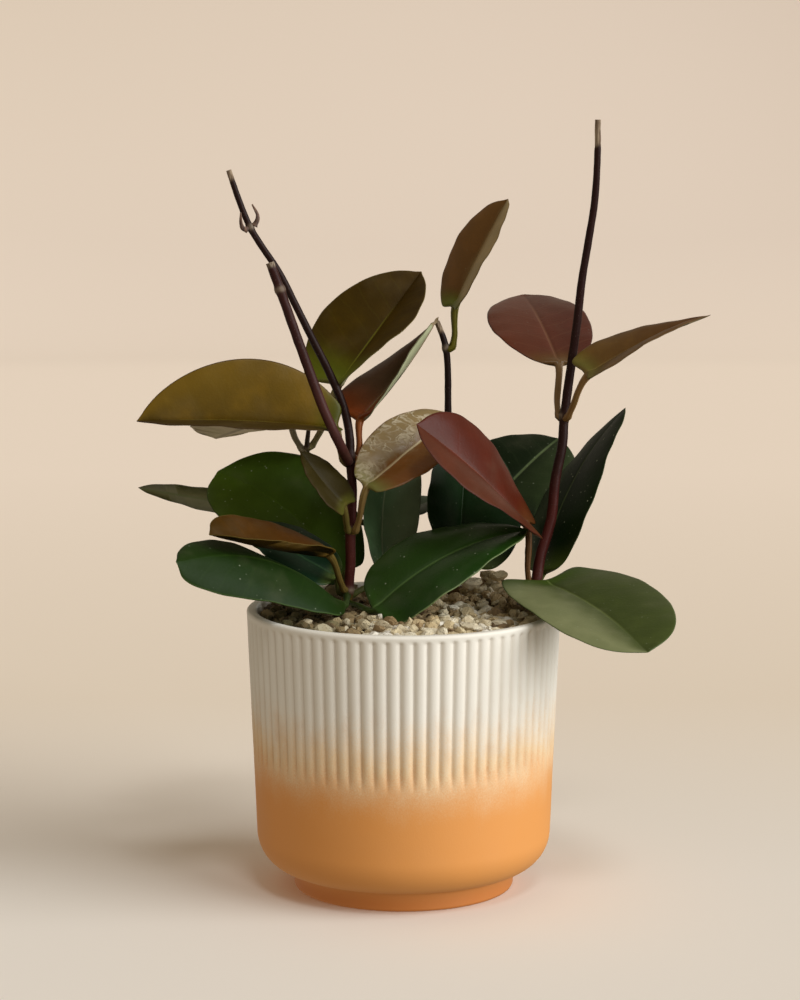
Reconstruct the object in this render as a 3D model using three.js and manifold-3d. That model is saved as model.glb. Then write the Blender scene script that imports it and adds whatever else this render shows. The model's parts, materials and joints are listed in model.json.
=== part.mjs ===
// A potted hoya: a fluted, footed ceramic pot filled with pumice gravel, and a plant of
// several stems with waxy leaves.
// Sizes are in millimetres, +Z is up, and the origin is the middle of the pot's underside.
// The plant's own lengths are given for a 130 mm pot and grow with the pot's width.

import * as THREE from 'three';
import { mergeVertices } from 'three/addons/utils/BufferGeometryUtils.js';
import Module from 'manifold-3d';

// ---- Pot sizes ----
const rimDiameter = 130;
const potHeight = 117;
const bodyTaper = 3.8;            // the body is this much slimmer in radius above its rounded base
const wallThickness = 4.2;
const floorThickness = 6;
const baseRoundingWidth = 14;     // the rounding between the body and the foot, in radius
const baseRoundingHeight = 15.5;
const footDiameter = 91.4;
const footHeight = 8.5;
const footFlare = 1.2;            // the foot is wider by this in radius where it meets the body
const footBevel = 0.8;
const lipHeight = 3.2;            // plain band between the rim and the flutes
const lipRounding = 1.1;
const fluteCount = 75;
const fluteDepth = 1.1;
const fluteLength = 62;           // from the lip down to where the flutes have faded away
const fluteFade = 12;             // length over which they fade
const innerRounding = 12;         // the curve between the inner wall and the floor

// ---- Growing medium ----
const mediumGap = 0.3;            // clearance to the pot's inner wall and floor
const mediumDrop = 3.8;           // the medium lies this far under the rim at the wall
const mediumCrown = 0.8;          // and rises by this towards the middle
const socketDepth = 25;           // how far each stem goes down into the medium
const socketClearance = 0.4;

// ---- Plant ----
const touchGap = 0.35;            // clearance between pieces that touch
const growth = rimDiameter / 130; // scale of every plant length
const plantLevel = potHeight - 2; // height the plant's own heights are counted from
const leafThickness = 1.9;
const leafEdgeThickness = 0.5;
const petioleRadius = 1.7;
const nodeSwelling = 1.22;        // stems thicken by this factor at their nodes
const nodeReach = 2.2;            // half the length of a swollen node
const stemSides = 8;
const footLean = 0.8;             // a stem's buried foot is this much of the way out of its top
const petioleClimb = 0.8;         // how strongly a petiole sets off along the stem, not only outward

const degrees = Math.PI / 180;
const wasm = await Module();
wasm.setup();

const object = new THREE.Group();
object.name = 'potted_hoya';

// ---- Small helpers ----

/** Adds one named piece with its own material. */
function addPiece(group, name, geometry, colour, roughness) {
  const material = new THREE.MeshStandardMaterial({ color: colour, roughness, metalness: 0 });
  const mesh = new THREE.Mesh(geometry, material);
  mesh.name = name;
  group.add(mesh);
}

/** Turns a list of points and a list of triangles into a geometry. */
function geometryFrom(points, triangles) {
  const geometry = new THREE.BufferGeometry();
  const values = points.flatMap((point) => [point.x, point.y, point.z]);
  geometry.setAttribute('position', new THREE.Float32BufferAttribute(values, 3));
  geometry.setIndex(triangles);
  geometry.computeVertexNormals();
  return geometry;
}

/**
 * Skins a run of rings. Each ring is a list of points that goes anticlockwise when seen from
 * the far end. A ring may hold half as many points as the one before it, or twice as many.
 * The first and last entries may be single points, which close the ends.
 */
function skinRings(rings) {
  const points = [];
  const starts = [];
  for (const ring of rings) {
    starts.push(points.length);
    points.push(...ring);
  }
  const triangles = [];
  for (let i = 0; i + 1 < rings.length; i += 1) {
    const low = rings[i].length;
    const high = rings[i + 1].length;
    const sides = Math.min(low === 1 ? high : low, high === 1 ? low : high);
    for (let side = 0; side < sides; side += 1) {
      const next = (side + 1) % sides;
      const lowAt = (k) => starts[i] + (k % low);
      const highAt = (k) => starts[i + 1] + (k % high);
      if (low === 1) {
        triangles.push(lowAt(0), highAt(next), highAt(side));
      } else if (high === 1) {
        triangles.push(lowAt(side), lowAt(next), highAt(0));
      } else if (low === high) {
        triangles.push(lowAt(side), lowAt(next), highAt(next));
        triangles.push(lowAt(side), highAt(next), highAt(side));
      } else if (low < high) {
        triangles.push(lowAt(side), highAt(2 * side + 1), highAt(2 * side));
        triangles.push(lowAt(side), lowAt(next), highAt(2 * side + 1));
        triangles.push(lowAt(next), highAt(2 * side + 2), highAt(2 * side + 1));
      } else {
        triangles.push(lowAt(2 * side), lowAt(2 * side + 1), highAt(side));
        triangles.push(lowAt(2 * side + 1), highAt(next), highAt(side));
        triangles.push(lowAt(2 * side + 1), lowAt(2 * side + 2), highAt(next));
      }
    }
  }
  return geometryFrom(points, triangles);
}

/** A level ring of points round the pot's axis; radius may vary with the angle. */
function levelRing(count, height, radiusAt) {
  const ring = [];
  for (let i = 0; i < count; i += 1) {
    const angle = (2 * Math.PI * i) / count;
    const radius = radiusAt(i);
    ring.push(new THREE.Vector3(radius * Math.cos(angle), radius * Math.sin(angle), height));
  }
  return ring;
}

/** A solid for joining and cutting. */
function solidFrom(geometry) {
  const bare = new THREE.BufferGeometry();
  bare.setAttribute('position', geometry.getAttribute('position').clone());
  bare.setIndex(geometry.getIndex().clone());
  const merged = mergeVertices(bare, 1e-4);
  return new wasm.Manifold(new wasm.Mesh({
    numProp: 3,
    vertProperties: new Float32Array(merged.getAttribute('position').array),
    triVerts: new Uint32Array(merged.getIndex().array),
  }));
}

/** The geometry of a cut solid. */
function geometryOf(solid) {
  const mesh = solid.getMesh();
  const points = [];
  for (let i = 0; i < mesh.vertProperties.length; i += mesh.numProp) {
    points.push(new THREE.Vector3(...mesh.vertProperties.slice(i, i + 3)));
  }
  return geometryFrom(points, Array.from(mesh.triVerts));
}

// ---- Pot ----

const rimRadius = rimDiameter / 2;
const bodyLowRadius = rimRadius - bodyTaper;
const bodyLowHeight = footHeight + baseRoundingHeight;

/** The pot's outer radius, over the flutes, above the rounded base. */
function bodyRadius(height) {
  const share = (height - bodyLowHeight) / (potHeight - bodyLowHeight);
  return bodyLowRadius + bodyTaper * share;
}

/** The pot's inner radius at a height over its floor. */
function innerRadius(height) {
  const wall = bodyRadius(Math.max(height, bodyLowHeight)) - wallThickness;
  const up = height - (footHeight + floorThickness);
  if (up >= innerRounding) {
    return wall;
  }
  const drop = 1 - Math.max(up, 0) / innerRounding;
  return wall - innerRounding * (1 - Math.sqrt(1 - drop * drop));
}

// Heights over the inner floor at which the inner wall is drawn, and the medium with it.
const innerStations = [45, innerRounding, 0.5 * innerRounding, 0.15 * innerRounding];

/** How deep the flutes are cut at a height, from nothing to their full depth. */
function fluteDepthAt(height) {
  const top = potHeight - lipHeight;
  const fromTop = top - height;
  const fromBottom = height - (top - fluteLength);
  const share = Math.min(fromTop / lipRounding, fromBottom / fluteFade, 1);
  return fluteDepth * Math.max(share, 0);
}

function makePot() {
  const plain = fluteCount;
  const fluted = 2 * fluteCount;
  const footRadius = footDiameter / 2;
  const footTop = footRadius + footFlare;
  const rings = [[new THREE.Vector3(0, 0, 0)]];
  const addPlain = (height, radius) => rings.push(levelRing(plain, height, () => radius));
  addPlain(0, footRadius - footBevel);
  addPlain(footBevel, footRadius);
  addPlain(footHeight, footTop);
  for (const angle of [75, 60, 45, 30, 15, 0]) {
    const radius = bodyLowRadius - baseRoundingWidth * (1 - Math.cos(angle * degrees));
    addPlain(bodyLowHeight - baseRoundingHeight * Math.sin(angle * degrees), radius);
  }
  const fluteTop = potHeight - lipHeight;
  const fluteBottom = fluteTop - fluteLength;
  const fluteHeights = [fluteBottom, fluteBottom + fluteFade / 2, fluteBottom + fluteFade];
  fluteHeights.push((fluteBottom + fluteFade + fluteTop) / 2);
  fluteHeights.push(fluteTop - lipRounding, fluteTop);
  for (const height of fluteHeights) {
    const depth = fluteDepthAt(height);
    rings.push(levelRing(fluted, height, (i) => bodyRadius(height) - (i % 2) * depth));
  }
  const innerLip = rimRadius - wallThickness;
  addPlain(potHeight - lipRounding, rimRadius);
  addPlain(potHeight - 0.3 * lipRounding, rimRadius - 0.3 * lipRounding);
  addPlain(potHeight, rimRadius - lipRounding);
  addPlain(potHeight, innerLip + lipRounding);
  addPlain(potHeight - lipRounding, innerLip);
  const floorHeight = footHeight + floorThickness;
  for (const up of innerStations) {
    addPlain(floorHeight + up, innerRadius(floorHeight + up));
  }
  addPlain(floorHeight, innerRadius(floorHeight) - 1);
  rings.push([new THREE.Vector3(0, 0, floorHeight)]);
  return skinRings(rings);
}

// ---- Stems ----
// Each stem is a run of points [x, y, height over the plant level] with a radius at its foot
// and at its tip, and the heights of its nodes. y grows away from the viewer.

const stems = {
  long_left: {
    path: [[-24, 5, -2], [-23, 5, 8], [-22, 4, 21], [-22, 3, 34], [-21, 3, 46], [-22, 4, 64],
      [-22, 7, 72], [-25, 9, 85], [-30, 10, 97], [-40, 11, 117], [-52, 12, 141],
      [-63, 13, 158], [-72, 14, 182]],
    footRadius: 2.1, tipRadius: 1.1, nodes: [8, 34, 64, 158], colour: '#4a2a2c',
  },
  back_left: {
    path: [[-28, 42, -2], [-33, 45, 18], [-38, 50, 34], [-41, 50, 56], [-41, 42, 66], [-40, 33, 72],
      [-39, 30, 86]],
    footRadius: 1.7, tipRadius: 0.7, nodes: [34, 63], colour: '#5a4038',
  },
  centre_back: {
    path: [[20, 47, -2], [20, 48, 20], [19, 48, 40], [19, 48, 78], [18, 48, 105], [14, 48, 117]],
    footRadius: 1.8, tipRadius: 1.2, nodes: [12, 34, 105], colour: '#33201f',
  },
  right: {
    path: [[54, 8, -2], [55, 9, 8], [57, 12, 21], [61, 15, 33], [63, 17, 51], [66, 19, 65],
      [67, 21, 78], [69, 22, 94], [72, 22, 117], [74, 22, 136], [79, 22, 169], [80, 22, 190],
      [80, 22, 202]],
    footRadius: 2.3, tipRadius: 1.2, nodes: [8, 79], colour: '#4d2428',
  },
};

// The shorter stem that branches off the long left one and ends in a cut.
const cutBranch = {
  from: 'long_left', nodeHeight: 62, side: [-0.3, -1, 0.35],
  path: [[-25, -9, 69], [-28, -13, 76], [-32, -14, 85], [-41, -12, 109], [-50, -9, 134], [-54, -9, 145]],
  footRadius: 1.9, tipRadius: 1.7, nodes: [134], colour: '#5c3a36',
};

/** A point of the plant, given from the plant level, as a point of the whole object. */
function plantPoint([x, y, height]) {
  return new THREE.Vector3(x * growth, y * growth, plantLevel + height * growth);
}

/** The curve along a stem. */
function stemCurve(points) {
  return new THREE.CatmullRomCurve3(points, false, 'centripetal');
}

/** The stem's radius at a share of its length and a height, with its swollen nodes. */
function stemRadius(stem, share, height) {
  let radius = stem.footRadius + (stem.tipRadius - stem.footRadius) * share;
  for (const node of stem.nodes) {
    const away = Math.abs(height - (plantLevel + node * growth)) / (nodeReach * growth);
    radius *= 1 + (nodeSwelling - 1) * Math.max(0, 1 - away);
  }
  return radius * growth;
}

/** Where the stations of a stem lie along its curve, closer together at the nodes. */
function stemStations(curve, stem) {
  const shares = [0];
  const steps = 14;
  for (let i = 1; i <= steps; i += 1) {
    shares.push(i / steps);
  }
  for (const node of stem.nodes) {
    const centre = shareAtHeight(curve, plantLevel + node * growth);
    const reach = (nodeReach * growth) / curve.getLength();
    shares.push(centre - reach, centre, centre + reach);
  }
  const sorted = shares.filter((share) => share >= 0 && share <= 1).sort((a, b) => a - b);
  const spacing = 0.004;
  return sorted.filter((share, i) => i === 0 || share - sorted[i - 1] > spacing);
}

/** The share of a curve's length at which it first reaches a height. */
function shareAtHeight(curve, height) {
  const steps = 400;
  for (let i = 0; i <= steps; i += 1) {
    if (curve.getPointAt(i / steps).z >= height) {
      return i / steps;
    }
  }
  return 1;
}

/** A round section across a direction. */
function roundSection(centre, along, radius, sides) {
  const across = new THREE.Vector3(0, 1, 0).cross(along).normalize();
  const upright = new THREE.Vector3().crossVectors(along, across).normalize();
  const ring = [];
  for (let i = 0; i < sides; i += 1) {
    const angle = (2 * Math.PI * i) / sides;
    ring.push(centre.clone()
      .addScaledVector(across, radius * Math.cos(angle))
      .addScaledVector(upright, radius * Math.sin(angle)));
  }
  return ring;
}

/** The full curve of a rooted stem, with the part that goes down into the medium. */
function rootedCurve(stem) {
  const points = stem.path.map(plantPoint);
  const foot = points[0].clone().multiplyScalar(footLean);
  foot.z = points[0].z - socketDepth * growth;
  return stemCurve([foot, ...points]);
}

/** A stem or branch as a tapered rod; extra widens it, for cutting its socket. */
function makeStem(curve, stem, extra = 0) {
  const shares = stemStations(curve, stem);
  const rings = [[curve.getPointAt(0).addScaledVector(curve.getTangentAt(0), -extra)]];
  for (const share of shares) {
    const centre = curve.getPointAt(share);
    const shift = share === 0 ? -extra : 0;
    centre.addScaledVector(curve.getTangentAt(0), shift);
    const radius = stemRadius(stem, share, centre.z) + extra;
    rings.push(roundSection(centre, curve.getTangentAt(share), radius, stemSides));
  }
  rings.push([curve.getPointAt(1)]);
  return skinRings(rings);
}

const stemCurves = {};
for (const [name, stem] of Object.entries(stems)) {
  stemCurves[name] = rootedCurve(stem);
}

/** The middle, direction and radius of a stem at a height over the plant level. */
function stemAt(name, height) {
  const curve = stemCurves[name];
  const level = plantLevel + height * growth;
  const share = shareAtHeight(curve, level);
  return {
    centre: curve.getPointAt(share),
    along: curve.getTangentAt(share),
    radius: stemRadius(stems[name], share, level),
  };
}

/**
 * The point just off a stem's skin where something round sets off from it, and its direction.
 * climb is how much it leans up along the stem; its radius keeps its end clear of the skin.
 */
function stemSide(name, height, towards, climb, radius) {
  const stem = stemAt(name, height);
  const out = towards.clone();
  out.addScaledVector(stem.along, -out.dot(stem.along)).normalize();
  const away = out.clone().addScaledVector(stem.along, climb).normalize();
  const leaning = radius * away.dot(stem.along);
  const start = stem.centre.clone().addScaledVector(out, stem.radius + touchGap + leaning);
  return { start, away };
}

// ---- Leaves ----
// base: where the blade begins, [x, y, height over the plant level]
// length, width: of the blade
// heading: the way the leaf points, seen from above, in degrees from +X towards +Y
// rise: how steeply it climbs; roll: its turn about its own length; twist: base to tip
// fold: how far each half stands up from flat; arch: how far the rib bows up in the middle
// sweep: how far the rib bows sideways; lobes: how far the blade's lobes reach back
// baseShape, tipShape: small values give blunt ends, large ones slender ends
// stem, node: the stem the petiole leaves, and its height there

const leaves = {
  left_long: { stem: 'long_left', node: 63, base: [-28, 4, 76], length: 81, width: 52,
    heading: 188, rise: 3, roll: -40, twist: 0, fold: 43, arch: 2, sweep: 0, lobes: 5,
    baseShape: 0.55, tipShape: 0.7, colour: '#6b5a26' },
  left_back: { stem: 'back_left', node: 62, base: [-50, 31, 79], length: 59, width: 45,
    heading: 124, rise: -16, roll: 6, twist: 0, fold: 10, arch: 0, sweep: 2, lobes: 3,
    baseShape: 0.46, tipShape: 0.47, colour: '#8a8a70' },
  top_left: { stem: 'back_left', node: 63, base: [-27, 24, 92], length: 60, width: 55,
    heading: 30, rise: 49, roll: 17, twist: 39, fold: 23, arch: 0, sweep: 0, lobes: 6,
    baseShape: 0.32, tipShape: 0.7, colour: '#5b4a1e' },
  folded: { stem: 'long_left', node: 64, base: [-18, 10, 79], length: 61, width: 35,
    heading: 46, rise: 40, roll: -10, twist: -16, fold: 26, arch: -2, sweep: 0, lobes: 2,
    baseShape: 0.31, tipShape: 1.2, colour: '#5a3a2a' },
  top_middle: { stem: 'centre_back', node: 105, base: [22, 48, 123], length: 50, width: 33,
    heading: 20, rise: 62, roll: 8, twist: 8, fold: 18, arch: 1, sweep: 0, lobes: 4,
    baseShape: 0.42, tipShape: 0.53, colour: '#5e4a28' },
  silvery: { stem: 'long_left', node: 34, base: [-15, -5, 53], length: 56, width: 32,
    heading: 45, rise: 26, roll: 31, twist: 0, fold: 20, arch: 3, sweep: -1, lobes: 3,
    baseShape: 0.44, tipShape: 0.57, colour: '#6d5136' },
  red: { stem: 'right', node: 9, base: [51, 8, 35], length: 68, width: 45,
    heading: 208, rise: 41, roll: -41, twist: -31, fold: 14, arch: 2, sweep: 0, lobes: 9,
    baseShape: 0.52, tipShape: 0.56, colour: '#6e2f28' },
  red_round: { stem: 'right', node: 79, base: [65, 28, 100], length: 61, width: 44,
    heading: 103, rise: 24, roll: -2, twist: -6, fold: 1, arch: 4, sweep: 1, lobes: 1,
    baseShape: 0.51, tipShape: 0.52, colour: '#5e2b22' },
  right_high: { stem: 'right', node: 79, base: [76, 6, 98], length: 56, width: 32,
    heading: 9, rise: 25, roll: 7, twist: -15, fold: 17, arch: 2, sweep: 0, lobes: 5,
    baseShape: 0.29, tipShape: 0.99, colour: '#5a3e22' },
  right_upright: { stem: 'right', node: 8, base: [58, 18, 13], length: 82, width: 46,
    heading: 42, rise: 53, roll: -20, twist: -12, fold: 0, arch: 6, sweep: 0, lobes: 0,
    baseShape: 0.39, tipShape: 0.68, colour: '#1f3a1c' },
  right_drooping: { stem: 'right', node: 6, base: [59, 5, 11], length: 78, width: 57,
    heading: -62, rise: -11, roll: 7, twist: 5, fold: 8, arch: 3, sweep: 1, lobes: 9,
    baseShape: 0.27, tipShape: 0.35, colour: '#2f4a22' },
  back_right: { stem: 'centre_back', node: 34, base: [34, 50, 33], length: 59, width: 47,
    heading: 49, rise: 28, roll: 26, twist: -7, fold: 3, arch: 3, sweep: 0, lobes: 3,
    baseShape: 0.4, tipShape: 0.54, colour: '#2a4526' },
  back_middle: { stem: 'centre_back', node: 12, base: [24, 28, 15], length: 57, width: 51,
    heading: 78, rise: 68, roll: 38, twist: -12, fold: 29, arch: 1, sweep: 2, lobes: 3,
    baseShape: 0.37, tipShape: 0.63, colour: '#18301c' },
  front: { stem: 'long_left', node: 3, base: [-12, -13, 3], length: 72, width: 43,
    heading: 15, rise: 25, roll: 24, twist: -10, fold: 5, arch: 6, sweep: 2, lobes: 0,
    baseShape: 0.28, tipShape: 0.63, colour: '#22401e' },
  left_broad: { stem: 'long_left', node: 8, base: [-26, 20, 13], length: 70, width: 56,
    heading: 155, rise: 34, roll: -31, twist: -11, fold: 9, arch: 7, sweep: -2, lobes: 6,
    baseShape: 0.48, tipShape: 0.47, colour: '#27431a' },
  rust: { stem: 'long_left', node: 9, base: [-31, -10, 26], length: 57, width: 34,
    heading: 214, rise: 13, roll: -12, twist: -12, fold: 26, arch: -1, sweep: 0, lobes: 2,
    baseShape: 0.49, tipShape: 0.47, colour: '#7a4a1e' },
  left_low: { stem: 'long_left', node: 6, base: [-25, -14, 5], length: 80, width: 40,
    heading: 212, rise: 18, roll: -28, twist: -35, fold: -20, arch: 8, sweep: -6, lobes: 0,
    baseShape: 0.46, tipShape: 0.5, colour: '#2a4a22' },
  far_left: { stem: 'back_left', node: 34, base: [-47, 50, 35], length: 67, width: 32,
    heading: 177, rise: 8, roll: 28, twist: 0, fold: 0, arch: 0, sweep: 0, lobes: 3,
    baseShape: 0.42, tipShape: 0.6, colour: '#4a5238' },
  left_behind: { stem: 'long_left', node: 7, base: [-28, 5, 14], length: 42, width: 29,
    heading: 170, rise: 30, roll: -30, twist: 0, fold: 8, arch: 0, sweep: 1, lobes: 1,
    baseShape: 0.43, tipShape: 0.64, colour: '#163028' },
  back_upright: { stem: 'long_left', node: 6, base: [-8, 22, 11], length: 58, width: 33,
    heading: 79, rise: 66, roll: 48, twist: 0, fold: 28, arch: -3, sweep: 2, lobes: 2,
    baseShape: 0.5, tipShape: 0.4, colour: '#1c3322' },
  small_bronze: { stem: 'long_left', node: 34, base: [-25, -9, 46], length: 28, width: 24,
    heading: 180, rise: 52, roll: -26, twist: 0, fold: 14, arch: 0, sweep: 1, lobes: 4,
    baseShape: 0.31, tipShape: 0.67, colour: '#4e4224' },
  back_small: { stem: 'back_left', node: 32, base: [-10, 43, 30], length: 30, width: 20,
    heading: 31, rise: 17, roll: 12, twist: 0, fold: 10, arch: 1, sweep: 0, lobes: 3,
    baseShape: 0.42, tipShape: 0.58, colour: '#54604a' },
};

// Places round a leaf's section, from one edge over the upper face to the other edge and back
// under the lower face: how far out each lies, on which face, and its angle on the petiole.
const sectionPlaces = [
  { out: 1, face: 0, angle: 0 }, { out: 0.67, face: 1, angle: 30 },
  { out: 0.33, face: 1, angle: 60 }, { out: 0, face: 1, angle: 90 },
  { out: -0.33, face: 1, angle: 120 }, { out: -0.67, face: 1, angle: 150 },
  { out: -1, face: 0, angle: 180 }, { out: -0.5, face: -1, angle: 225 },
  { out: 0, face: -1, angle: 270 }, { out: 0.5, face: -1, angle: 315 },
];
const bladeStations = [0.03, 0.09, 0.18, 0.3, 0.43, 0.56, 0.69, 0.81, 0.91, 0.97];
const petioleStations = [0, 0.3, 0.6, 0.85, 1];

/** The leaf's own directions: along it, to its left, and out of its upper face. */
function leafDirections(leaf) {
  const heading = leaf.heading * degrees;
  const rise = leaf.rise * degrees;
  const along = new THREE.Vector3(
    Math.cos(rise) * Math.cos(heading), Math.cos(rise) * Math.sin(heading), Math.sin(rise));
  const level = new THREE.Vector3(-Math.sin(heading), Math.cos(heading), 0);
  const left = level.applyAxisAngle(along, leaf.roll * degrees);
  const up = new THREE.Vector3().crossVectors(along, left);
  return { along, left, up };
}

/** Half the blade's width at a share of its length. */
function halfWidth(leaf, share) {
  const widest = leaf.baseShape / (leaf.baseShape + leaf.tipShape);
  const fromBase = (share / widest) ** leaf.baseShape;
  const fromTip = ((1 - share) / (1 - widest)) ** leaf.tipShape;
  return 0.5 * leaf.width * growth * fromBase * fromTip;
}

/** One closed section of the blade. */
function bladeSection(leaf, base, share) {
  const { along, left, up } = leafDirections(leaf);
  const bow = 4 * share * (1 - share) * growth;
  const centre = base.clone()
    .addScaledVector(along, leaf.length * growth * share)
    .addScaledVector(up, leaf.arch * bow)
    .addScaledVector(left, leaf.sweep * bow);
  const twist = leaf.twist * degrees * (share - 0.5);
  const across = left.clone().applyAxisAngle(along, twist);
  const normal = up.clone().applyAxisAngle(along, twist);
  const fold = leaf.fold * degrees;
  const reach = halfWidth(leaf, share);
  const lobe = leaf.lobes * growth * Math.exp(-5 * share);
  return sectionPlaces.map(({ out, face }) => {
    const side = Math.abs(out);
    const thick = leafEdgeThickness + (leafThickness - leafEdgeThickness) * (1 - side);
    const point = centre.clone()
      .addScaledVector(across, reach * out * Math.cos(fold))
      .addScaledVector(normal, reach * side * Math.sin(fold))
      .addScaledVector(along, -lobe * side * side);
    const outward = normal.clone().multiplyScalar(Math.cos(fold));
    outward.addScaledVector(across, -Math.sign(out) * Math.sin(fold));
    return point.addScaledVector(outward, 0.5 * face * thick * growth);
  });
}

/** One leaf with its petiole, from just off the stem to the tip of the blade. */
function makeLeaf(leaf) {
  const base = plantPoint(leaf.base);
  const { along, left } = leafDirections(leaf);
  const stemCentre = stemAt(leaf.stem, leaf.node).centre;
  const towards = base.clone().sub(stemCentre);
  const climb = leaf.climb ?? petioleClimb;
  const { start, away } = stemSide(leaf.stem, leaf.node, towards, climb, petioleRadius * growth);
  const span = start.distanceTo(base);
  const petiole = new THREE.CubicBezierCurve3(
    start,
    start.clone().addScaledVector(away, 0.38 * span),
    base.clone().addScaledVector(along, -0.38 * span),
    base,
  );
  const rings = [[start.clone()]];
  for (const share of petioleStations) {
    const centre = petiole.getPoint(share);
    const direction = petiole.getTangent(share);
    const across = left.clone().addScaledVector(direction, -left.dot(direction)).normalize();
    const upward = new THREE.Vector3().crossVectors(direction, across);
    const radius = petioleRadius * growth * (0.9 + 0.1 * share);
    rings.push(sectionPlaces.map(({ angle }) => centre.clone()
      .addScaledVector(across, radius * Math.cos(angle * degrees))
      .addScaledVector(upward, radius * Math.sin(angle * degrees))));
  }
  for (const share of bladeStations) {
    rings.push(bladeSection(leaf, base, share));
  }
  const tipOverhang = 1.5 * growth;
  rings.push([base.clone().addScaledVector(along, leaf.length * growth + tipOverhang)]);
  return skinRings(rings);
}

// ---- Growing medium ----

const mediumRadius = innerRadius(potHeight - 2 * mediumDrop) - mediumGap;
const heaps = [
  { x: 44, y: 24, rise: 5, spread: 15 },
  { x: -32, y: 28, rise: 3, spread: 16 },
];

/** The height of the medium's top over the pot's underside. */
function mediumHeight(x, y) {
  const far = Math.hypot(x, y) / mediumRadius;
  let height = potHeight - mediumDrop + mediumCrown * (1 - far * far);
  for (const heap of heaps) {
    const away = Math.hypot(x - heap.x * growth, y - heap.y * growth) / (heap.spread * growth);
    height += heap.rise * growth * Math.exp(-away * away) * (1 - far ** 8);
  }
  return height;
}

function makeMedium() {
  const sides = 36;
  const floorHeight = footHeight + floorThickness + mediumGap;
  const rings = [[new THREE.Vector3(0, 0, floorHeight)]];
  const potFloor = floorHeight - mediumGap;
  rings.push(levelRing(sides, floorHeight, () => innerRadius(potFloor) - 1 - 2 * mediumGap));
  for (const up of [...innerStations].reverse()) {
    const radius = innerRadius(potFloor + up) - mediumGap;
    rings.push(levelRing(sides, floorHeight + up, () => radius));
  }
  for (const share of [1, 0.93, 0.75, 0.55, 0.35, 0.15]) {
    const ring = levelRing(sides, 0, () => share * mediumRadius);
    for (const point of ring) {
      point.z = mediumHeight(point.x, point.y);
    }
    rings.push(ring);
  }
  rings.push([new THREE.Vector3(0, 0, mediumHeight(0, 0))]);
  let solid = solidFrom(skinRings(rings));
  for (const [name, stem] of Object.entries(stems)) {
    solid = solid.subtract(solidFrom(makeStem(stemCurves[name], stem, socketClearance)));
  }
  return geometryOf(solid);
}

// ---- Larger chips that lie on the medium ----

const chips = [
  { x: 26, y: -38, size: 5.4, stretch: 1.2, turn: 20 },
  { x: 38, y: -28, size: 4.2, stretch: 1.1, turn: 70 },
  { x: 10, y: -47, size: 4.6, stretch: 1.3, turn: 130 },
  { x: -6, y: -50, size: 3.8, stretch: 1.2, turn: 10 },
  { x: -40, y: -30, size: 4.2, stretch: 1.4, turn: 55 },
  { x: -52, y: -10, size: 4.4, stretch: 1.2, turn: 95 },
  { x: -45, y: 20, size: 4.8, stretch: 1.1, turn: 160 },
  { x: -12, y: 40, size: 4.4, stretch: 1.3, turn: 35 },
  { x: 3, y: 50, size: 4.0, stretch: 1.2, turn: 80 },
  { x: 38, y: 38, size: 4.8, stretch: 1.2, turn: 115 },
  { x: 34, y: -2, size: 4.6, stretch: 1.3, turn: 150 },
  { x: 8, y: 14, size: 4.4, stretch: 1.2, turn: 5 },
];

/** An uneven pebble, flattened a little and lying just clear of the medium. */
function makeChip(chip, index) {
  const radius = 0.5 * chip.size * growth;
  const sphere = new THREE.IcosahedronGeometry(1, 1);
  sphere.deleteAttribute('normal');
  sphere.deleteAttribute('uv');
  const geometry = mergeVertices(sphere, 1e-4);
  const position = geometry.getAttribute('position');
  const point = new THREE.Vector3();
  for (let i = 0; i < position.count; i += 1) {
    point.fromBufferAttribute(position, i);
    const bump = 1 + 0.12 * Math.sin(5 * point.x + 3 * index) * Math.cos(4 * point.y - index);
    point.multiply(new THREE.Vector3(chip.stretch, 1, 0.75)).multiplyScalar(bump * radius);
    position.setXYZ(i, point.x, point.y, point.z);
  }
  geometry.rotateZ(chip.turn * degrees);
  geometry.computeBoundingBox();
  const x = chip.x * growth;
  const y = chip.y * growth;
  let ground = 0;
  for (let side = 0; side < 8; side += 1) {
    const angle = (side * Math.PI) / 4;
    const spread = radius * chip.stretch;
    ground = Math.max(ground, mediumHeight(x + spread * Math.cos(angle), y + spread * Math.sin(angle)));
  }
  ground = Math.max(ground, mediumHeight(x, y));
  geometry.translate(x, y, ground + touchGap - geometry.boundingBox.min.z);
  geometry.computeVertexNormals();
  return geometry;
}

// ---- Dried stubs at the long stem's top node ----

const driedStubs = [
  { name: 'dried_stub_left', side: [-0.9, -0.5, 0], bend: [[-1.8, -1, 2.5], [-2, -1.5, 7]] },
  { name: 'dried_stub_right', side: [0.9, 0.1, 0.2], bend: [[1, 0.3, 3.8], [-1.2, 1, 8.4]] },
];

/** A short dried petiole that curves up beside the stem to a point. */
function makeStub(stub) {
  const node = 158;
  const side = new THREE.Vector3(...stub.side);
  const { start, away } = stemSide('long_left', node, side, 0.5, 0.95 * growth);
  const near = start.clone().addScaledVector(away, 0.9 * growth);
  const bends = stub.bend.map((step) => start.clone().addScaledVector(new THREE.Vector3(...step), growth));
  const curve = stemCurve([start, near, ...bends]);
  const rings = [[start.clone()]];
  for (const share of [0, 0.2, 0.45, 0.7, 0.9]) {
    const radius = growth * (0.95 - 0.6 * share);
    rings.push(roundSection(curve.getPointAt(share), curve.getTangentAt(share), radius, 6));
  }
  rings.push([curve.getPointAt(1)]);
  return skinRings(rings);
}

// ---- Assembly ----

const holder = new THREE.Group();
holder.name = 'holder';
object.add(holder);
addPiece(holder, 'pot', makePot(), '#d9b98c', 0.8);

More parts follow.
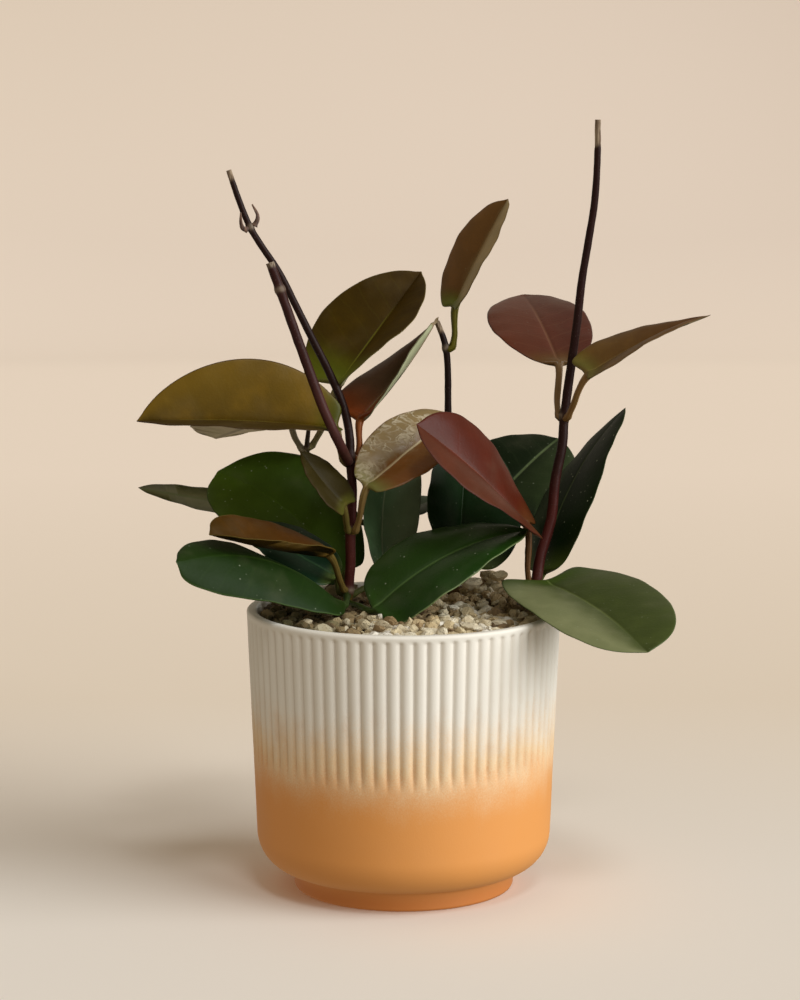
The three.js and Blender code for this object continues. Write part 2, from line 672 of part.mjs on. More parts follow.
const growingMedium = new THREE.Group();
growingMedium.name = 'growing_medium';
object.add(growingMedium);
addPiece(growingMedium, 'medium', makeMedium(), '#b9ad96', 0.95);
chips.forEach((chip, index) => {
  const name = `chip_${String(index + 1).padStart(2, '0')}`;
  addPiece(growingMedium, name, makeChip(chip, index), '#d8cdb6', 0.9);
});

const plant = new THREE.Group();
plant.name = 'plant';
object.add(plant);
for (const [name, stem] of Object.entries(stems)) {
  addPiece(plant, `stem_${name}`, makeStem(stemCurves[name], stem), stem.colour, 0.6);
}
const branchSide = new THREE.Vector3(...cutBranch.side);
const branchReach = cutBranch.footRadius * growth;
const branchStart = stemSide(cutBranch.from, cutBranch.nodeHeight, branchSide, 0.6, branchReach);
const branchKnee = branchStart.start.clone().addScaledVector(branchStart.away, 2 * growth);
const branchCurve = stemCurve([branchStart.start, branchKnee, ...cutBranch.path.map(plantPoint)]);
addPiece(plant, 'stem_cut_left', makeStem(branchCurve, cutBranch), cutBranch.colour, 0.6);
for (const [name, leaf] of Object.entries(leaves)) {
  addPiece(plant, `leaf_${name}`, makeLeaf(leaf), leaf.colour, 0.4);
}
for (const stub of driedStubs) {
  addPiece(plant, stub.name, makeStub(stub), '#6b5648', 0.8);
}

export default object;
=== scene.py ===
"""Looks of a potted hoya: waxy leaves on bare stems, pumice gravel and a fluted ceramic pot.

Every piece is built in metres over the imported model, which fixes where each one stands.
"""
import json
import logging
import math
import random
from dataclasses import dataclass, field
from enum import Enum
from functools import cache
from typing import ClassVar

import bmesh
import bpy
import numpy as np
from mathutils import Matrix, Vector, noise


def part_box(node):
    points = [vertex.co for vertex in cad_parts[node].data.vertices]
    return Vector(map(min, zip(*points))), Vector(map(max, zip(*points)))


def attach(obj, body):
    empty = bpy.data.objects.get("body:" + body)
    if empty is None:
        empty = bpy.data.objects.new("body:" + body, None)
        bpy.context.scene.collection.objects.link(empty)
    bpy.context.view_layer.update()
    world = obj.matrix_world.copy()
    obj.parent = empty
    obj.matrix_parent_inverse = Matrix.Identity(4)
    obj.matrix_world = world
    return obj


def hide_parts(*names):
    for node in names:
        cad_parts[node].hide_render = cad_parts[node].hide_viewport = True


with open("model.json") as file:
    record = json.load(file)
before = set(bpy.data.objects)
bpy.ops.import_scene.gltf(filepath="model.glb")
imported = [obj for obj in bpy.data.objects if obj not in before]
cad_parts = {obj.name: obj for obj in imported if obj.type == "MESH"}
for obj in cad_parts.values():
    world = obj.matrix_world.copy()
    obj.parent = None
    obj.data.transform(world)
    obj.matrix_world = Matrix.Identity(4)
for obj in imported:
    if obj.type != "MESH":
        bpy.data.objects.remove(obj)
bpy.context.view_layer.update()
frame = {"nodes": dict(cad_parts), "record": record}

MM = 0.001
log = logging.getLogger("potted_hoya")


# ---- Colour and surface helpers ----

def tone(code: str) -> tuple[float, float, float, float]:
    """Turns a six-figure screen colour into the linear colour that shaders use.

    Args:
        code: the colour as six hexadecimal figures.

    Returns:
        The linear red, green and blue, with an alpha of 1.
    """
    parts = [int(code[i:i + 2], 16) / 255 for i in (0, 2, 4)]
    linear = [c / 12.92 if c <= 0.04045 else ((c + 0.055) / 1.055) ** 2.4 for c in parts]
    return (linear[0], linear[1], linear[2], 1.0)


Socket = bpy.types.NodeSocket
Value = Socket | float | tuple[float, ...]


class Surface:
    """Adds and links the shader nodes of one finish."""

    def __init__(self, name: str) -> None:
        """Starts a material of that name with its plain shader."""
        self.material = bpy.data.materials.new(name)
        self.material.use_nodes = True
        self.tree = self.material.node_tree
        self.shader = self.tree.nodes["Principled BSDF"]

    def put(self, socket: Socket, value: Value) -> None:
        """Links a value to a socket, or sets it there.

        Args:
            socket: the input to fill.
            value: another node's output, or a plain value.
        """
        if isinstance(value, bpy.types.NodeSocket):
            self.tree.links.new(value, socket)
        else:
            socket.default_value = value

    def node(self, kind: str, inputs: dict[str | int, Value], **settings: object) -> bpy.types.Node:
        """Adds one node.

        Args:
            kind: the node's type name without its ShaderNode prefix.
            inputs: the value of each input, by name or place.
            settings: the node's own properties.

        Returns:
            The new node.
        """
        made = self.tree.nodes.new("ShaderNode" + kind)
        for key, value in settings.items():
            setattr(made, key, value)
        for key, value in inputs.items():
            self.put(made.inputs[key], value)
        return made

    def math(self, operation: str, first: Value, second: Value = 0.0) -> Socket:
        """One arithmetic step on one or two values."""
        return self.node("Math", {0: first, 1: second}, operation=operation).outputs[0]

    def plus(self, first: Value, second: Value) -> Socket:
        """The sum of two values."""
        return self.math("ADD", first, second)

    def minus(self, first: Value, second: Value) -> Socket:
        """The first value less the second."""
        return self.math("SUBTRACT", first, second)

    def times(self, first: Value, second: Value) -> Socket:
        """The product of two values."""
        return self.math("MULTIPLY", first, second)

    def mix(self, share: Value, first: Value, second: Value, how: str = "MIX") -> Socket:
        """Blends two colours by a share."""
        made = self.node("Mix", {0: share, 6: first, 7: second}, data_type="RGBA", blend_type=how)
        return made.outputs[2]

    def ease(self, value: Value, low: float, high: float) -> Socket:
        """A smooth step from 0 at low to 1 at high."""
        made = self.node("MapRange", {0: value, 1: low, 2: high}, interpolation_type="SMOOTHSTEP")
        return made.outputs[0]

    def ramp(self, value: Value, stops: dict[float, str]) -> Socket:
        """A run of colours.

        Args:
            value: where to read it.
            stops: the colours by their places, from the first to the last.

        Returns:
            The colour.
        """
        made = self.node("ValToRGB", {0: value})
        elements = made.color_ramp.elements
        (first, start), *between, (last, end) = stops.items()
        elements[0].position, elements[0].color = first, tone(start)
        elements[1].position, elements[1].color = last, tone(end)
        for place, code in between:
            elements.new(place).color = tone(code)
        return made.outputs[0]

    def place(self, scale: tuple[float, float, float] = (1, 1, 1)) -> Socket:
        """The point on the object, stretched by a scale."""
        point = self.node("TexCoord", {}).outputs["Object"]
        return self.node("Mapping", {"Vector": point, "Scale": scale}).outputs[0]

    def reading(self, name: str) -> Socket:
        """A number stored on the mesh's points."""
        return self.node("Attribute", {}, attribute_name=name).outputs["Fac"]

    def grain(self, scale: float, detail: float = 2.0, stretch: tuple = (1, 1, 1)) -> Socket:
        """Noise from 0 to 1 at so many waves to the metre."""
        inputs = {"Vector": self.place(stretch), "Scale": scale, "Detail": detail}
        return self.node("TexNoise", inputs).outputs["Fac"]

    def cells(self, scale: float) -> Socket:
        """The distance to the nearest of scattered points."""
        return self.node("TexVoronoi", {"Vector": self.place(), "Scale": scale}).outputs["Distance"]

    def relief(self, height: Value, depth: float, strength: float = 1.0) -> None:
        """Gives the shader a fine relief.

        Args:
            height: the relief from 0 to 1.
            depth: how deep it is, in metres.
            strength: how much of it shows.
        """
        made = self.node("Bump", {"Height": height, "Distance": depth, "Strength": strength})
        self.put(self.shader.inputs["Normal"], made.outputs[0])

    def colour(self, value: Value) -> None:
        """Sets the shader's colour."""
        self.put(self.shader.inputs["Base Color"], value)

    def set(self, **values: Value) -> None:
        """Sets other shader inputs, with underscores for spaces in their names."""
        for key, value in values.items():
            self.put(self.shader.inputs[key.replace("_", " ")], value)


# ---- Mesh helpers ----

def through(knots: np.ndarray, values: np.ndarray, at: np.ndarray) -> np.ndarray:
    """Reads a smooth curve that passes through values at knots.

    Args:
        knots: rising numbers, one for each row of values.
        values: the rows the curve passes through.
        at: where to read it.

    Returns:
        One row for each place in at.
    """
    slopes = np.gradient(values, knots, axis=0)
    i = np.clip(np.searchsorted(knots, at, side="right") - 1, 0, len(knots) - 2)
    span = (knots[i + 1] - knots[i])[:, None]
    u = ((at - knots[i])[:, None]) / span
    first = (2 * u**3 - 3 * u**2 + 1) * values[i] + (u**3 - 2 * u**2 + u) * span * slopes[i]
    second = (3 * u**2 - 2 * u**3) * values[i + 1] + (u**3 - u**2) * span * slopes[i + 1]
    return first + second


def smooth(value: np.ndarray | float, low: float, high: float) -> np.ndarray:
    """A smooth step from 0 at low to 1 at high."""
    u = np.clip((np.asarray(value, float) - low) / (high - low), 0, 1)
    return u * u * (3 - 2 * u)


def unit(vectors: np.ndarray) -> np.ndarray:
    """Each vector at a length of one."""
    return vectors / np.maximum(np.linalg.norm(vectors, axis=-1, keepdims=True), 1e-12)


def distances(points: np.ndarray) -> np.ndarray:
    """How far along a line each of its points lies."""
    return np.concatenate([[0], np.cumsum(np.linalg.norm(np.diff(points, axis=0), axis=1))])


def tube(path: np.ndarray, across: np.ndarray, up: np.ndarray,
         sideways: np.ndarray, upward: np.ndarray) -> np.ndarray:
    """Lays a ring of points round each point of a path.

    Args:
        path: the middle of each ring.
        across: the sideways direction at each ring.
        up: the upward direction at each ring.
        sideways: how far each point lies to the side, by ring and point.
        upward: how far each point lies up, by ring and point.

    Returns:
        The rings, as an array of rings by points by three.
    """
    return (path[:, None, :] + across[:, None, :] * sideways[:, :, None]
            + up[:, None, :] * upward[:, :, None])


def skin(rings: np.ndarray, close_start: bool = True, close_end: bool = True) -> tuple[list, list]:
    """Joins rings of points into one closed skin.

    Args:
        rings: an array of rings by points by three.
        close_start: whether the first ring gets a cap.
        close_end: whether the last ring gets a cap.

    Returns:
        The points and the faces.
    """
    count, sides = rings.shape[:2]
    points = rings.reshape(-1, 3).tolist()
    faces = []
    for i in range(count - 1):
        for j in range(sides):
            k = (j + 1) % sides
            faces.append((i * sides + j, i * sides + k, (i + 1) * sides + k, (i + 1) * sides + j))
    for wanted, ring, start in ((close_start, rings[0], 0), (close_end, rings[-1], (count - 1) * sides)):
        if wanted:
            points.append(ring.mean(axis=0).tolist())
            middle = len(points) - 1
            for j in range(sides):
                k = (j + 1) % sides
                pair = (start + k, start + j) if start == 0 else (start + j, start + k)
                faces.append((*pair, middle))
    return points, faces


def piece(name: str, points: list, faces: list, material: bpy.types.Material,
          readings: dict[str, list] | None = None) -> bpy.types.Object:
    """Makes one smooth piece that rides on the object's body.

    Args:
        name: the piece's name.
        points: its corners in metres.
        faces: the corners of each face.
        material: its finish.
        readings: numbers to store on the points for the finish, by name.

    Returns:
        The new piece.
    """
    mesh = bpy.data.meshes.new(name)
    mesh.from_pydata(points, [], faces)
    mesh.materials.append(material)
    for key, values in (readings or {}).items():
        layer = mesh.attributes.new(key, "FLOAT", "POINT")
        layer.data.foreach_set("value", np.asarray(values, np.float32))
    mesh.shade_smooth()
    mesh.update()
    made = bpy.data.objects.new(name, mesh)
    bpy.context.scene.collection.objects.link(made)
    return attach(made, "root")


class CadSkin:
    """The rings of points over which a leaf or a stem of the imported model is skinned."""

    def __init__(self, node: str, sides: int) -> None:
        """Reads the node's rings, from its foot to its tip.

        Args:
            node: the node's name.
            sides: how many points each of its rings has.
        """
        body = bmesh.new()
        body.from_mesh(frame["nodes"][node].data)
        bmesh.ops.remove_doubles(body, verts=body.verts, dist=0.01 * MM)
        poles = [v for v in body.verts if len(v.link_edges) == sides]
        start = min(poles, key=self._unevenness)
        layers = self._layers(start)
        self.foot = np.array(start.co)
        self.tip = np.array(layers[-1][0].co)
        self.rings = self._ordered(layers[1:-1])
        body.free()

    @staticmethod
    def _unevenness(pole: bmesh.types.BMVert) -> float:
        """How far a pole is from being the flat, round foot of the skin."""
        reach = [edge.calc_length() for edge in pole.link_edges]
        return (max(reach) - min(reach)) / max(reach) + 0.001 * pole.co.z

    @staticmethod
    def _layers(start: bmesh.types.BMVert) -> list[list[bmesh.types.BMVert]]:
        """Sorts the points into layers, each one edge further from the foot.

        Args:
            start: the point in the middle of the foot.

        Returns:
            The layers, from the foot itself to the tip.
        """
        layers, seen = [[start]], {start}
        while layers[-1]:
            fresh = []
            for vert in layers[-1]:
                for edge in vert.link_edges:
                    other = edge.other_vert(vert)
                    if other not in seen:
                        seen.add(other)
                        fresh.append(other)
            layers.append(fresh)
        return layers[:-1]

    def _ordered(self, layers: list[list[bmesh.types.BMVert]]) -> list[np.ndarray]:
        """Orders each layer into a ring, all turning the same way about the direction of growth.

        Args:
            layers: the layers between the foot and the tip.

        Returns:
            The points of each ring, in order.
        """
        centres = [np.mean([v.co for v in layer], axis=0) for layer in layers]
        centres = [self.foot - 1e-3 * (centres[1] - self.foot), *centres, self.tip]
        rings = []
        for i, layer in enumerate(layers):
            ring, members = [layer[0]], set(layer)
            while len(ring) < len(layer):
                near = [e.other_vert(ring[-1]) for e in ring[-1].link_edges]
                ring.append(next(v for v in near if v in members and v not in ring))
            points = np.array([v.co for v in ring])
            area = np.cross(points, np.roll(points, -1, axis=0)).sum(axis=0)
            if area @ (centres[i + 2] - centres[i]) < 0:
                points = points[::-1]
            rings.append(points)
        return rings


# ---- Leaves ----

class Gloss(Enum):
    """How shiny a leaf's upper face is: the roughness of its wax and how much it reflects."""

    DULL = (0.46, 0.10)
    SATIN = (0.38, 0.18)
    SHINY = (0.29, 0.28)


@dataclass(frozen=True)
class LeafFinish:
    """The waxy skin of one leaf, with its colours over the two faces."""

    deep: str
    # glow is the second colour of the upper face; on some leaves it is painted sheen
    glow: str
    rib: str = "6f7a45"
    margin: str = "5d6038"
    under: str = "7d8466"
    base: str = "55662c"
    glow_across: float = 0.0      # how the glow leans to the left half, or the right if under 0
    glow_along: float = 0.0       # how it leans to the tip, or the base if under 0
    glow_shift: float = 0.0
    glow_soft: float = 0.6
    rib_reach: float = 0.95       # share of the length along which the midrib shows
    rib_width: float = 0.55       # millimetres
    rib_share: float = 0.6
    margin_width: float = 0.5     # millimetres
    base_reach: float = 0.16
    specks: float = 0.5
    veins: float = 0.02
    gloss: Gloss = Gloss.SATIN
    sheen_glints: float = 0.0           # share of painted sheen and glints over the crinkled left half
    stalk: str = "4a4a20"

    def material(self, name: str, seed: float) -> bpy.types.Material:
        """Builds the finish.

        Args:
            name: the material's name.
            seed: shifts the mottling, so that no two leaves match.

        Returns:
            The material.
        """
        s = Surface(name)
        along, face = s.reading("along"), s.reading("face")
        blotch = s.grain(95 + seed, 3.0)
        fine = s.grain(900, 2.0)
        veined = self._side_veins(s, along)
        top = self._ground(s, along, blotch, seed)
        top = s.mix(s.times(veined, self.veins), top, tone(self.rib))
        # Painted sheen: a pale cast over the left half, and painted glints along fine wrinkles.
        if self.sheen_glints:
            sheen_cast = s.ease(s.plus(s.reading("across"), s.times(blotch, 0.7)), 0.15, 0.7)
            crinkle = s.times(self._crease_glints(s), s.times(sheen_cast, self.sheen_glints))
            top = s.mix(s.times(sheen_cast, 0.3), top, tone("b3a074"))
            top = s.mix(crinkle, top, tone("e2d6bc"))
            fine = s.plus(fine, s.times(crinkle, 9.0))
        if self.specks:
            dots = s.ease(s.cells(330), 0.15, 0.07)
            dust = s.ease(s.grain(150 + seed, 2.0), 0.44, 0.62)
            top = s.mix(s.times(s.times(dots, dust), self.specks), top, tone("a3ab92"))
        body = s.mix(s.ease(face, -0.3, 0.3), self._underside(s, blotch, veined), self._lines(s, along, top))
        stalk = s.mix(s.times(blotch, 0.4), tone(self.stalk), tone(self.base))
        s.colour(s.mix(s.ease(along, 0.03, -0.03), body, stalk))
        roughness, reflection = self.gloss.value
        wax = s.plus(roughness - 0.05, s.times(fine, 0.12))
        wax = s.plus(wax, s.times(s.ease(face, 0.3, -0.3), 0.18))
        s.set(Roughness=wax, Specular_IOR_Level=reflection)
        s.relief(s.plus(s.times(fine, 0.5), s.times(veined, -0.08)), 0.16 * MM, 0.7)
        return s.material

    def _ground(self, s: Surface, along: Socket, blotch: Socket, seed: float) -> Socket:
        """Blends the two main colours of the upper face, with mottling and a faint haze.

        Args:
            s: the surface being built.
            along: the place along the blade, from 0 to 1.
            blotch: broad mottling.
            seed: shifts the haze.

        Returns:
            The colour.
        """
        lean = s.times(s.reading("across"), self.glow_across)
        lean = s.plus(lean, s.times(s.minus(along, 0.5), self.glow_along))
        lean = s.plus(s.minus(lean, self.glow_shift), s.times(s.minus(blotch, 0.5), 0.55))
        top = s.mix(s.ease(lean, -self.glow_soft, self.glow_soft), tone(self.deep), tone(self.glow))
        top = s.mix(s.ease(along, self.base_reach, 0.0), top, tone(self.base))
        shade = s.times(s.ease(blotch, 0.25, 0.6), 0.45)
        top = s.mix(shade, top, s.mix(1.0, top, (0.62, 0.66, 0.6, 1), "MULTIPLY"))
        haze = s.times(s.ease(s.grain(42 + 0.5 * seed, 5.0), 0.5, 0.75), 0.04)
        return s.mix(haze, top, tone("b0a488"))

    def _lines(self, s: Surface, along: Socket, top: Socket) -> Socket:
        """Draws the midrib and the margin over the upper face.

        Args:
            s: the surface being built.
            along: the place along the blade, from 0 to 1.
            top: the colour of the upper face.

        Returns:
            The colour with both lines.
        """
        reach = s.ease(along, self.rib_reach, self.rib_reach - 0.45)
        line = s.times(s.ease(s.reading("rib_mm"), self.rib_width * 1.6, self.rib_width * 0.4), reach)
        top = s.mix(s.times(line, self.rib_share), top, tone(self.rib))
        rim = s.times(s.ease(s.reading("edge_mm"), self.margin_width * 1.5, 0.0), 0.75)
        return s.mix(rim, top, tone(self.margin))

    def _underside(self, s: Surface, blotch: Socket, veined: Socket) -> Socket:
        """The colour of the lower face, with its veins and its keel.

        Args:
            s: the surface being built.
            blotch: broad mottling.
            veined: how far each place is on a side vein.

        Returns:
            The colour.
        """
        pale = tone(self.under)
        shaded = (0.8 * pale[0], 0.82 * pale[1], 0.76 * pale[2], 1.0)
        low = s.mix(s.ease(blotch, 0.3, 0.7), pale, shaded)
        low = s.mix(s.times(veined, 0.1), low, tone(self.rib))
        return s.mix(s.times(s.ease(s.reading("rib_mm"), 2.2, 0.6), 0.5), low, tone(self.base))

    @staticmethod
    def _crease_glints(s: Surface) -> Socket:
        """Fine wrinkles that wander over the leaf in patches, along which glints are painted.

        Args:
            s: the surface being built.

        Returns:
            How far each place is on a wrinkle, from 0 to 1.
        """
        inputs = {"Vector": s.place((1, 1, 1.6)), "Scale": 190.0, "Detail": 5.0, "Distortion": 0.6}
        wander = s.node("TexNoise", inputs).outputs["Fac"]
        lines = s.ease(s.math("ABSOLUTE", s.minus(wander, 0.5)), 0.075, 0.0)
        return s.times(lines, s.ease(s.grain(110, 3.0), 0.35, 0.6))

    @staticmethod
    def _side_veins(s: Surface, along: Socket) -> Socket:
        """Thin veins that leave the midrib and lean to the tip.

        Args:
            s: the surface being built.
            along: the place along the blade, from 0 to 1.

        Returns:
            How far each place is on a vein, from 0 to 1.
        """
        rib = s.reading("rib_mm")
        bend = s.times(s.grain(70, 2.0), 5.0)
        lean = s.minus(s.times(along, 46.0), s.times(rib, 0.34))
        wave = s.math("SINE", s.plus(lean, bend))
        return s.times(s.ease(wave, 0.9, 1.0), s.ease(rib, 0.2, 2.0))


@dataclass(frozen=True)
class LeafHabit:
    """How one leaf's blade is shaped beyond its ribs, in millimetres."""

    wave: float = 0.9             # height of the waves along the margins
    waves: float = 2.2            # how many there are along the blade
    curl_left: float = -0.8       # how far the left margin bends up, or down if under 0
    curl_right: float = -0.8
    cushion: float = 0.5          # how far each half bulges up
    crinkle: float = 0.12
    tip: float = -0.6             # how far the fine point is drawn out
    groove: float = 0.32
    keel: float = 1.0


@cache
def stem_line() -> np.ndarray:
    """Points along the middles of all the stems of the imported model.

    Returns:
        The points, half a millimetre apart.
    """
    lines = []
    for node in sorted(n for n in frame["nodes"] if n.startswith("stem_")):
        middles = np.array([ring.mean(axis=0) for ring in CadSkin(node, 8).rings])
        run = distances(middles)
        lines.append(through(run, middles, np.arange(0, run[-1], 0.5 * MM)))
    return np.concatenate(lines)


def stem_point(place: np.ndarray) -> np.ndarray:
    """The point in the middle of a stem that is nearest to a place."""
    line = stem_line()
    return line[np.argmin(np.linalg.norm(line - place, axis=1))]


@dataclass
class Leaf:
    """One leaf, from its joint with the stem to its tip, over its node's ribs."""

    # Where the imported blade's rings stand along it, and where the points of a drawn section lie
    # across half of it.
    STATIONS: ClassVar[np.ndarray] = np.array(
        [0, 0.03, 0.09, 0.18, 0.3, 0.43, 0.56, 0.69, 0.81, 0.91, 0.97, 1.0])
    HALF: ClassVar[np.ndarray] = np.array(
        [1, 0.985, 0.955, 0.9, 0.82, 0.72, 0.61, 0.5, 0.39, 0.285, 0.19, 0.11, 0.055, 0.02])

    name: str
    finish: LeafFinish
    habit: LeafHabit
    seed: int
    sides: int = 10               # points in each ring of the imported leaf
    sections: int = 57            # rings drawn along the blade
    straightness: float = 0.6     # how far the stalk's bends are drawn straight
    slimness: float = 0.24        # how much thinner the stalk is at its foot than at the blade
    collar: float = 0.28          # how far the stalk widens where it meets the stem
    channel: float = 0.16         # depth of the groove along the stalk, as a share of its radius

    def __post_init__(self) -> None:
        """Reads the ribs of the leaf's node."""
        self.node = "leaf_" + self.name
        ribs = CadSkin(self.node, self.sides)
        rings = [self._from_left_edge(ring) for ring in ribs.rings]
        base, blade = rings[4], rings[5:]
        self.tip = ribs.tip
        self.stalk = np.array([0.5 * (ring[0] + ring[6]) for ring in rings[:5]])
        self.stalk_radius = 0.5 * np.linalg.norm(base[0] - base[6])
        middle = 0.5 * (base[0] + base[6])
        side = base[0] - middle
        self.left = self._run(base[0], [r[0] for r in blade])
        self.right = self._run(base[6], [r[6] for r in blade])
        self.centre = self._run(middle, [0.5 * (r[3] + r[8]) for r in blade])
        self.left_half = self._run(middle + 0.5 * side, [0.25 * (r[1] + r[2]) + 0.5 * r[9] for r in blade])
        self.right_half = self._run(middle - 0.5 * side, [0.25 * (r[4] + r[5]) + 0.5 * r[7] for r in blade])

    @staticmethod
    def _from_left_edge(ring: np.ndarray) -> np.ndarray:
        """The ring, starting at its left edge and crossing the upper face first."""
        width = [np.linalg.norm(ring[k] - ring[(k + 6) % 10]) for k in range(10)]
        return np.roll(ring, -int(np.argmax(width)), axis=0)

    def _run(self, first: np.ndarray, points: list) -> np.ndarray:
        """One line along the blade, from the stalk to the tip."""
        return np.array([first, *points, self.tip])

    def _columns(self) -> tuple[np.ndarray, np.ndarray]:
        """Lays out the points of one section, round the edge of the blade.

        Returns:
            How far out each point lies, from 1 at the left margin to -1 at the right, and
            the face it is on: 1 above, -1 below and 0 at the margins.
        """
        over = np.concatenate([self.HALF, [0.0], -self.HALF[::-1]])
        under = np.concatenate([-self.HALF[1:][::-1], [0.0], self.HALF[1:]])
        faces = np.concatenate([[0.0], np.ones(len(over) - 2), [0.0], -np.ones(len(under))])
        return np.concatenate([over, under]), faces

    def _blade(self, share: np.ndarray, out: np.ndarray) -> np.ndarray:
        """Reads the blade's middle surface.

        Args:
            share: shares of its length.
            out: shares of its half width, left over 0 and right under 0.

        Returns:
            One point for each length and width.
        """
        knots = np.arccos(1 - 2 * self.STATIONS) / np.pi
        at = np.arccos(1 - 2 * share) / np.pi
        lines = (self.centre, self.left, self.left_half, self.right, self.right_half)
        centre, left, left_half, right, right_half = (through(knots, line, at)[:, None, :] for line in lines)
        v = np.abs(out)[None, :, None]
        edge = np.where(out[None, :, None] >= 0, left, right)
        half = np.where(out[None, :, None] >= 0, left_half, right_half)
        return centre + v * (4 * half - 3 * centre - edge) + v * v * (2 * centre + 2 * edge - 4 * half)

    def rings(self) -> tuple[np.ndarray, dict[str, list]]:
        """Builds every ring of the leaf's skin.

        Returns:
            The rings, and the readings that the finish takes from each point.
        """
        out, face = self._columns()
        share = 0.5 * (1 - np.cos(np.pi * np.linspace(0, 1, self.sections + 1)))[1:]
        surface = self._blade(share, out)
        centre = self._blade(share, np.array([0.0]))[:, 0]
        half = self._half_widths(share, out, centre)
        v, t = np.abs(out)[None, :], share[:, None]
        rib_mm, edge_mm = v * half / MM, (1 - v) * half / MM
        rest = smooth(t, 0.0, 0.07)
        lift = self._lift(out, t) + self.habit.crinkle * self._crinkle(surface) * smooth(edge_mm, 0, 3)
        body = self._thickness(rib_mm, edge_mm, face, t)
        stalk = face[None, :] * np.sqrt(np.clip(1 - out**2, 0, 1))[None, :] * self.stalk_radius / MM
        rise = rest * (body + lift) + (1 - rest) * stalk
        blade = surface + self._normals(share, out) * rise[:, :, None] * MM
        stem, lengths = self._stalk_rings(out, face)
        none = np.zeros((len(stem), len(out)))
        readings = {
            "along": (none + lengths[:, None], np.repeat(t, len(out), axis=1)),
            "across": (none, np.repeat(out[None, :], len(share), axis=0)),
            "face": (none + face, np.repeat(face[None, :], len(share), axis=0)),
            "rib_mm": (none + 0.5, rib_mm),
            "edge_mm": (none + 3, edge_mm + 3 * (1 - rest)),
        }
        rings = np.concatenate([stem, self._pointed(blade, centre, share)])
        return rings, {key: np.concatenate(both).reshape(-1).tolist() for key, both in readings.items()}

    def _normals(self, share: np.ndarray, out: np.ndarray) -> np.ndarray:
        """Finds which way the blade's upper face looks.

        Args:
            share: shares of its length.
            out: shares of its half width.

        Returns:
            One direction for each length and width.
        """
        across = np.linspace(1, -1, 41)
        sheet = self._blade(share, across)
        flat = unit(np.cross(np.gradient(sheet, axis=1), np.gradient(sheet, share, axis=0)))
        lay = np.array([[np.interp(out, across[::-1], row[::-1, k]) for k in range(3)] for row in flat])
        return unit(np.transpose(lay, (0, 2, 1)))

    def _half_widths(self, share: np.ndarray, out: np.ndarray, centre: np.ndarray) -> np.ndarray:
        """Measures the blade from its middle line to its margins.

        Args:
            share: shares of its length.
            out: shares of its half width, whose sign picks the side.
            centre: the middle line.

        Returns:
            The half width in metres for each length and width.
        """
        left, right = (np.linalg.norm(self._blade(share, np.array([side]))[:, 0] - centre, axis=1)
                       for side in (1.0, -1.0))
        return np.where(out[None, :] >= 0, left[:, None], right[:, None])

    def _lift(self, out: np.ndarray, t: np.ndarray) -> np.ndarray:
        """Bends the blade into its waves, curled margins and swollen halves.

        Args:
            out: shares of its half width.
            t: shares of its length, as a column.

        Returns:
            How far each point rises, in millimetres.
        """
        habit, v = self.habit, np.abs(out)[None, :]
        phase = np.where(out >= 0, self.seed * 1.7, self.seed * 2.9 + 1.3)[None, :]
        lift = habit.wave * v**2.2 * np.sin(2 * np.pi * habit.waves * t + phase) * np.sin(np.pi * t)
        lift += 0.35 * habit.wave * v**3 * np.sin(2 * np.pi * 2.7 * habit.waves * t + 2 * phase)
        curl = np.where(out >= 0, habit.curl_left, habit.curl_right)[None, :]
        lift += curl * np.clip((v - 0.55) / 0.45, 0, 1) ** 2 * np.sin(np.pi * np.clip(t, 0.02, 1)) ** 0.5
        lift += habit.cushion * np.sin(np.pi * np.clip(v, 0, 1)) * np.sin(np.pi * t) ** 0.6
        return lift

    def _thickness(self, rib_mm: np.ndarray, edge_mm: np.ndarray, face: np.ndarray,
                   t: np.ndarray) -> np.ndarray:
        """Gives the blade its two faces, the groove over its midrib and the keel under it.

        Args:
            rib_mm: distances from the midrib.
            edge_mm: distances from the margin.
            face: the face of each point of a section.
            t: shares of its length, as a column.

        Returns:
            How far each point stands off the middle surface, in millimetres.
        """
        fade = np.clip(1.02 - t, 0, 1)
        groove = self.habit.groove * np.exp(-(rib_mm / 0.75) ** 2) * fade**0.6
        keel = self.habit.keel * np.exp(-(rib_mm / (0.5 + 0.9 * fade)) ** 2) * fade**1.1
        thick = 0.5 * (0.42 + 0.75 * np.exp(-(rib_mm / 9) ** 2) * fade**0.5)
        thick = thick * np.sqrt(np.clip(edge_mm / 0.55, 0.0, 1))
        return np.where(face[None, :] > 0, thick - groove, np.where(face[None, :] < 0, -thick - keel, 0))

    def _crinkle(self, surface: np.ndarray) -> np.ndarray:
        """Makes small uneven swellings of the blade.

        Args:
            surface: its middle surface.

        Returns:
            The swelling at each point, from about -1 to 1.
        """
        flat = surface.reshape(-1, 3)
        shift = Vector((self.seed * 3.1, 0, 0))
        values = [noise.noise(Vector(p) * 140 + shift) + 0.5 * noise.noise(Vector(p) * 330 + shift)
                  for p in flat]
        return np.array(values).reshape(surface.shape[:2])

    def _pointed(self, blade: np.ndarray, centre: np.ndarray, share: np.ndarray) -> np.ndarray:
        """Draws the blade's end out into a fine point.

        Args:
            blade: its rings.
            centre: its middle line.
            share: the share of its length at each ring.

        Returns:
            The changed rings.
        """
        forward = unit(self.tip - centre[-6])
        pull = smooth(share, 0.955, 1.0)[:, None] ** 1.5 * self.habit.tip * MM
        return blade + (pull * forward)[:, None, :]

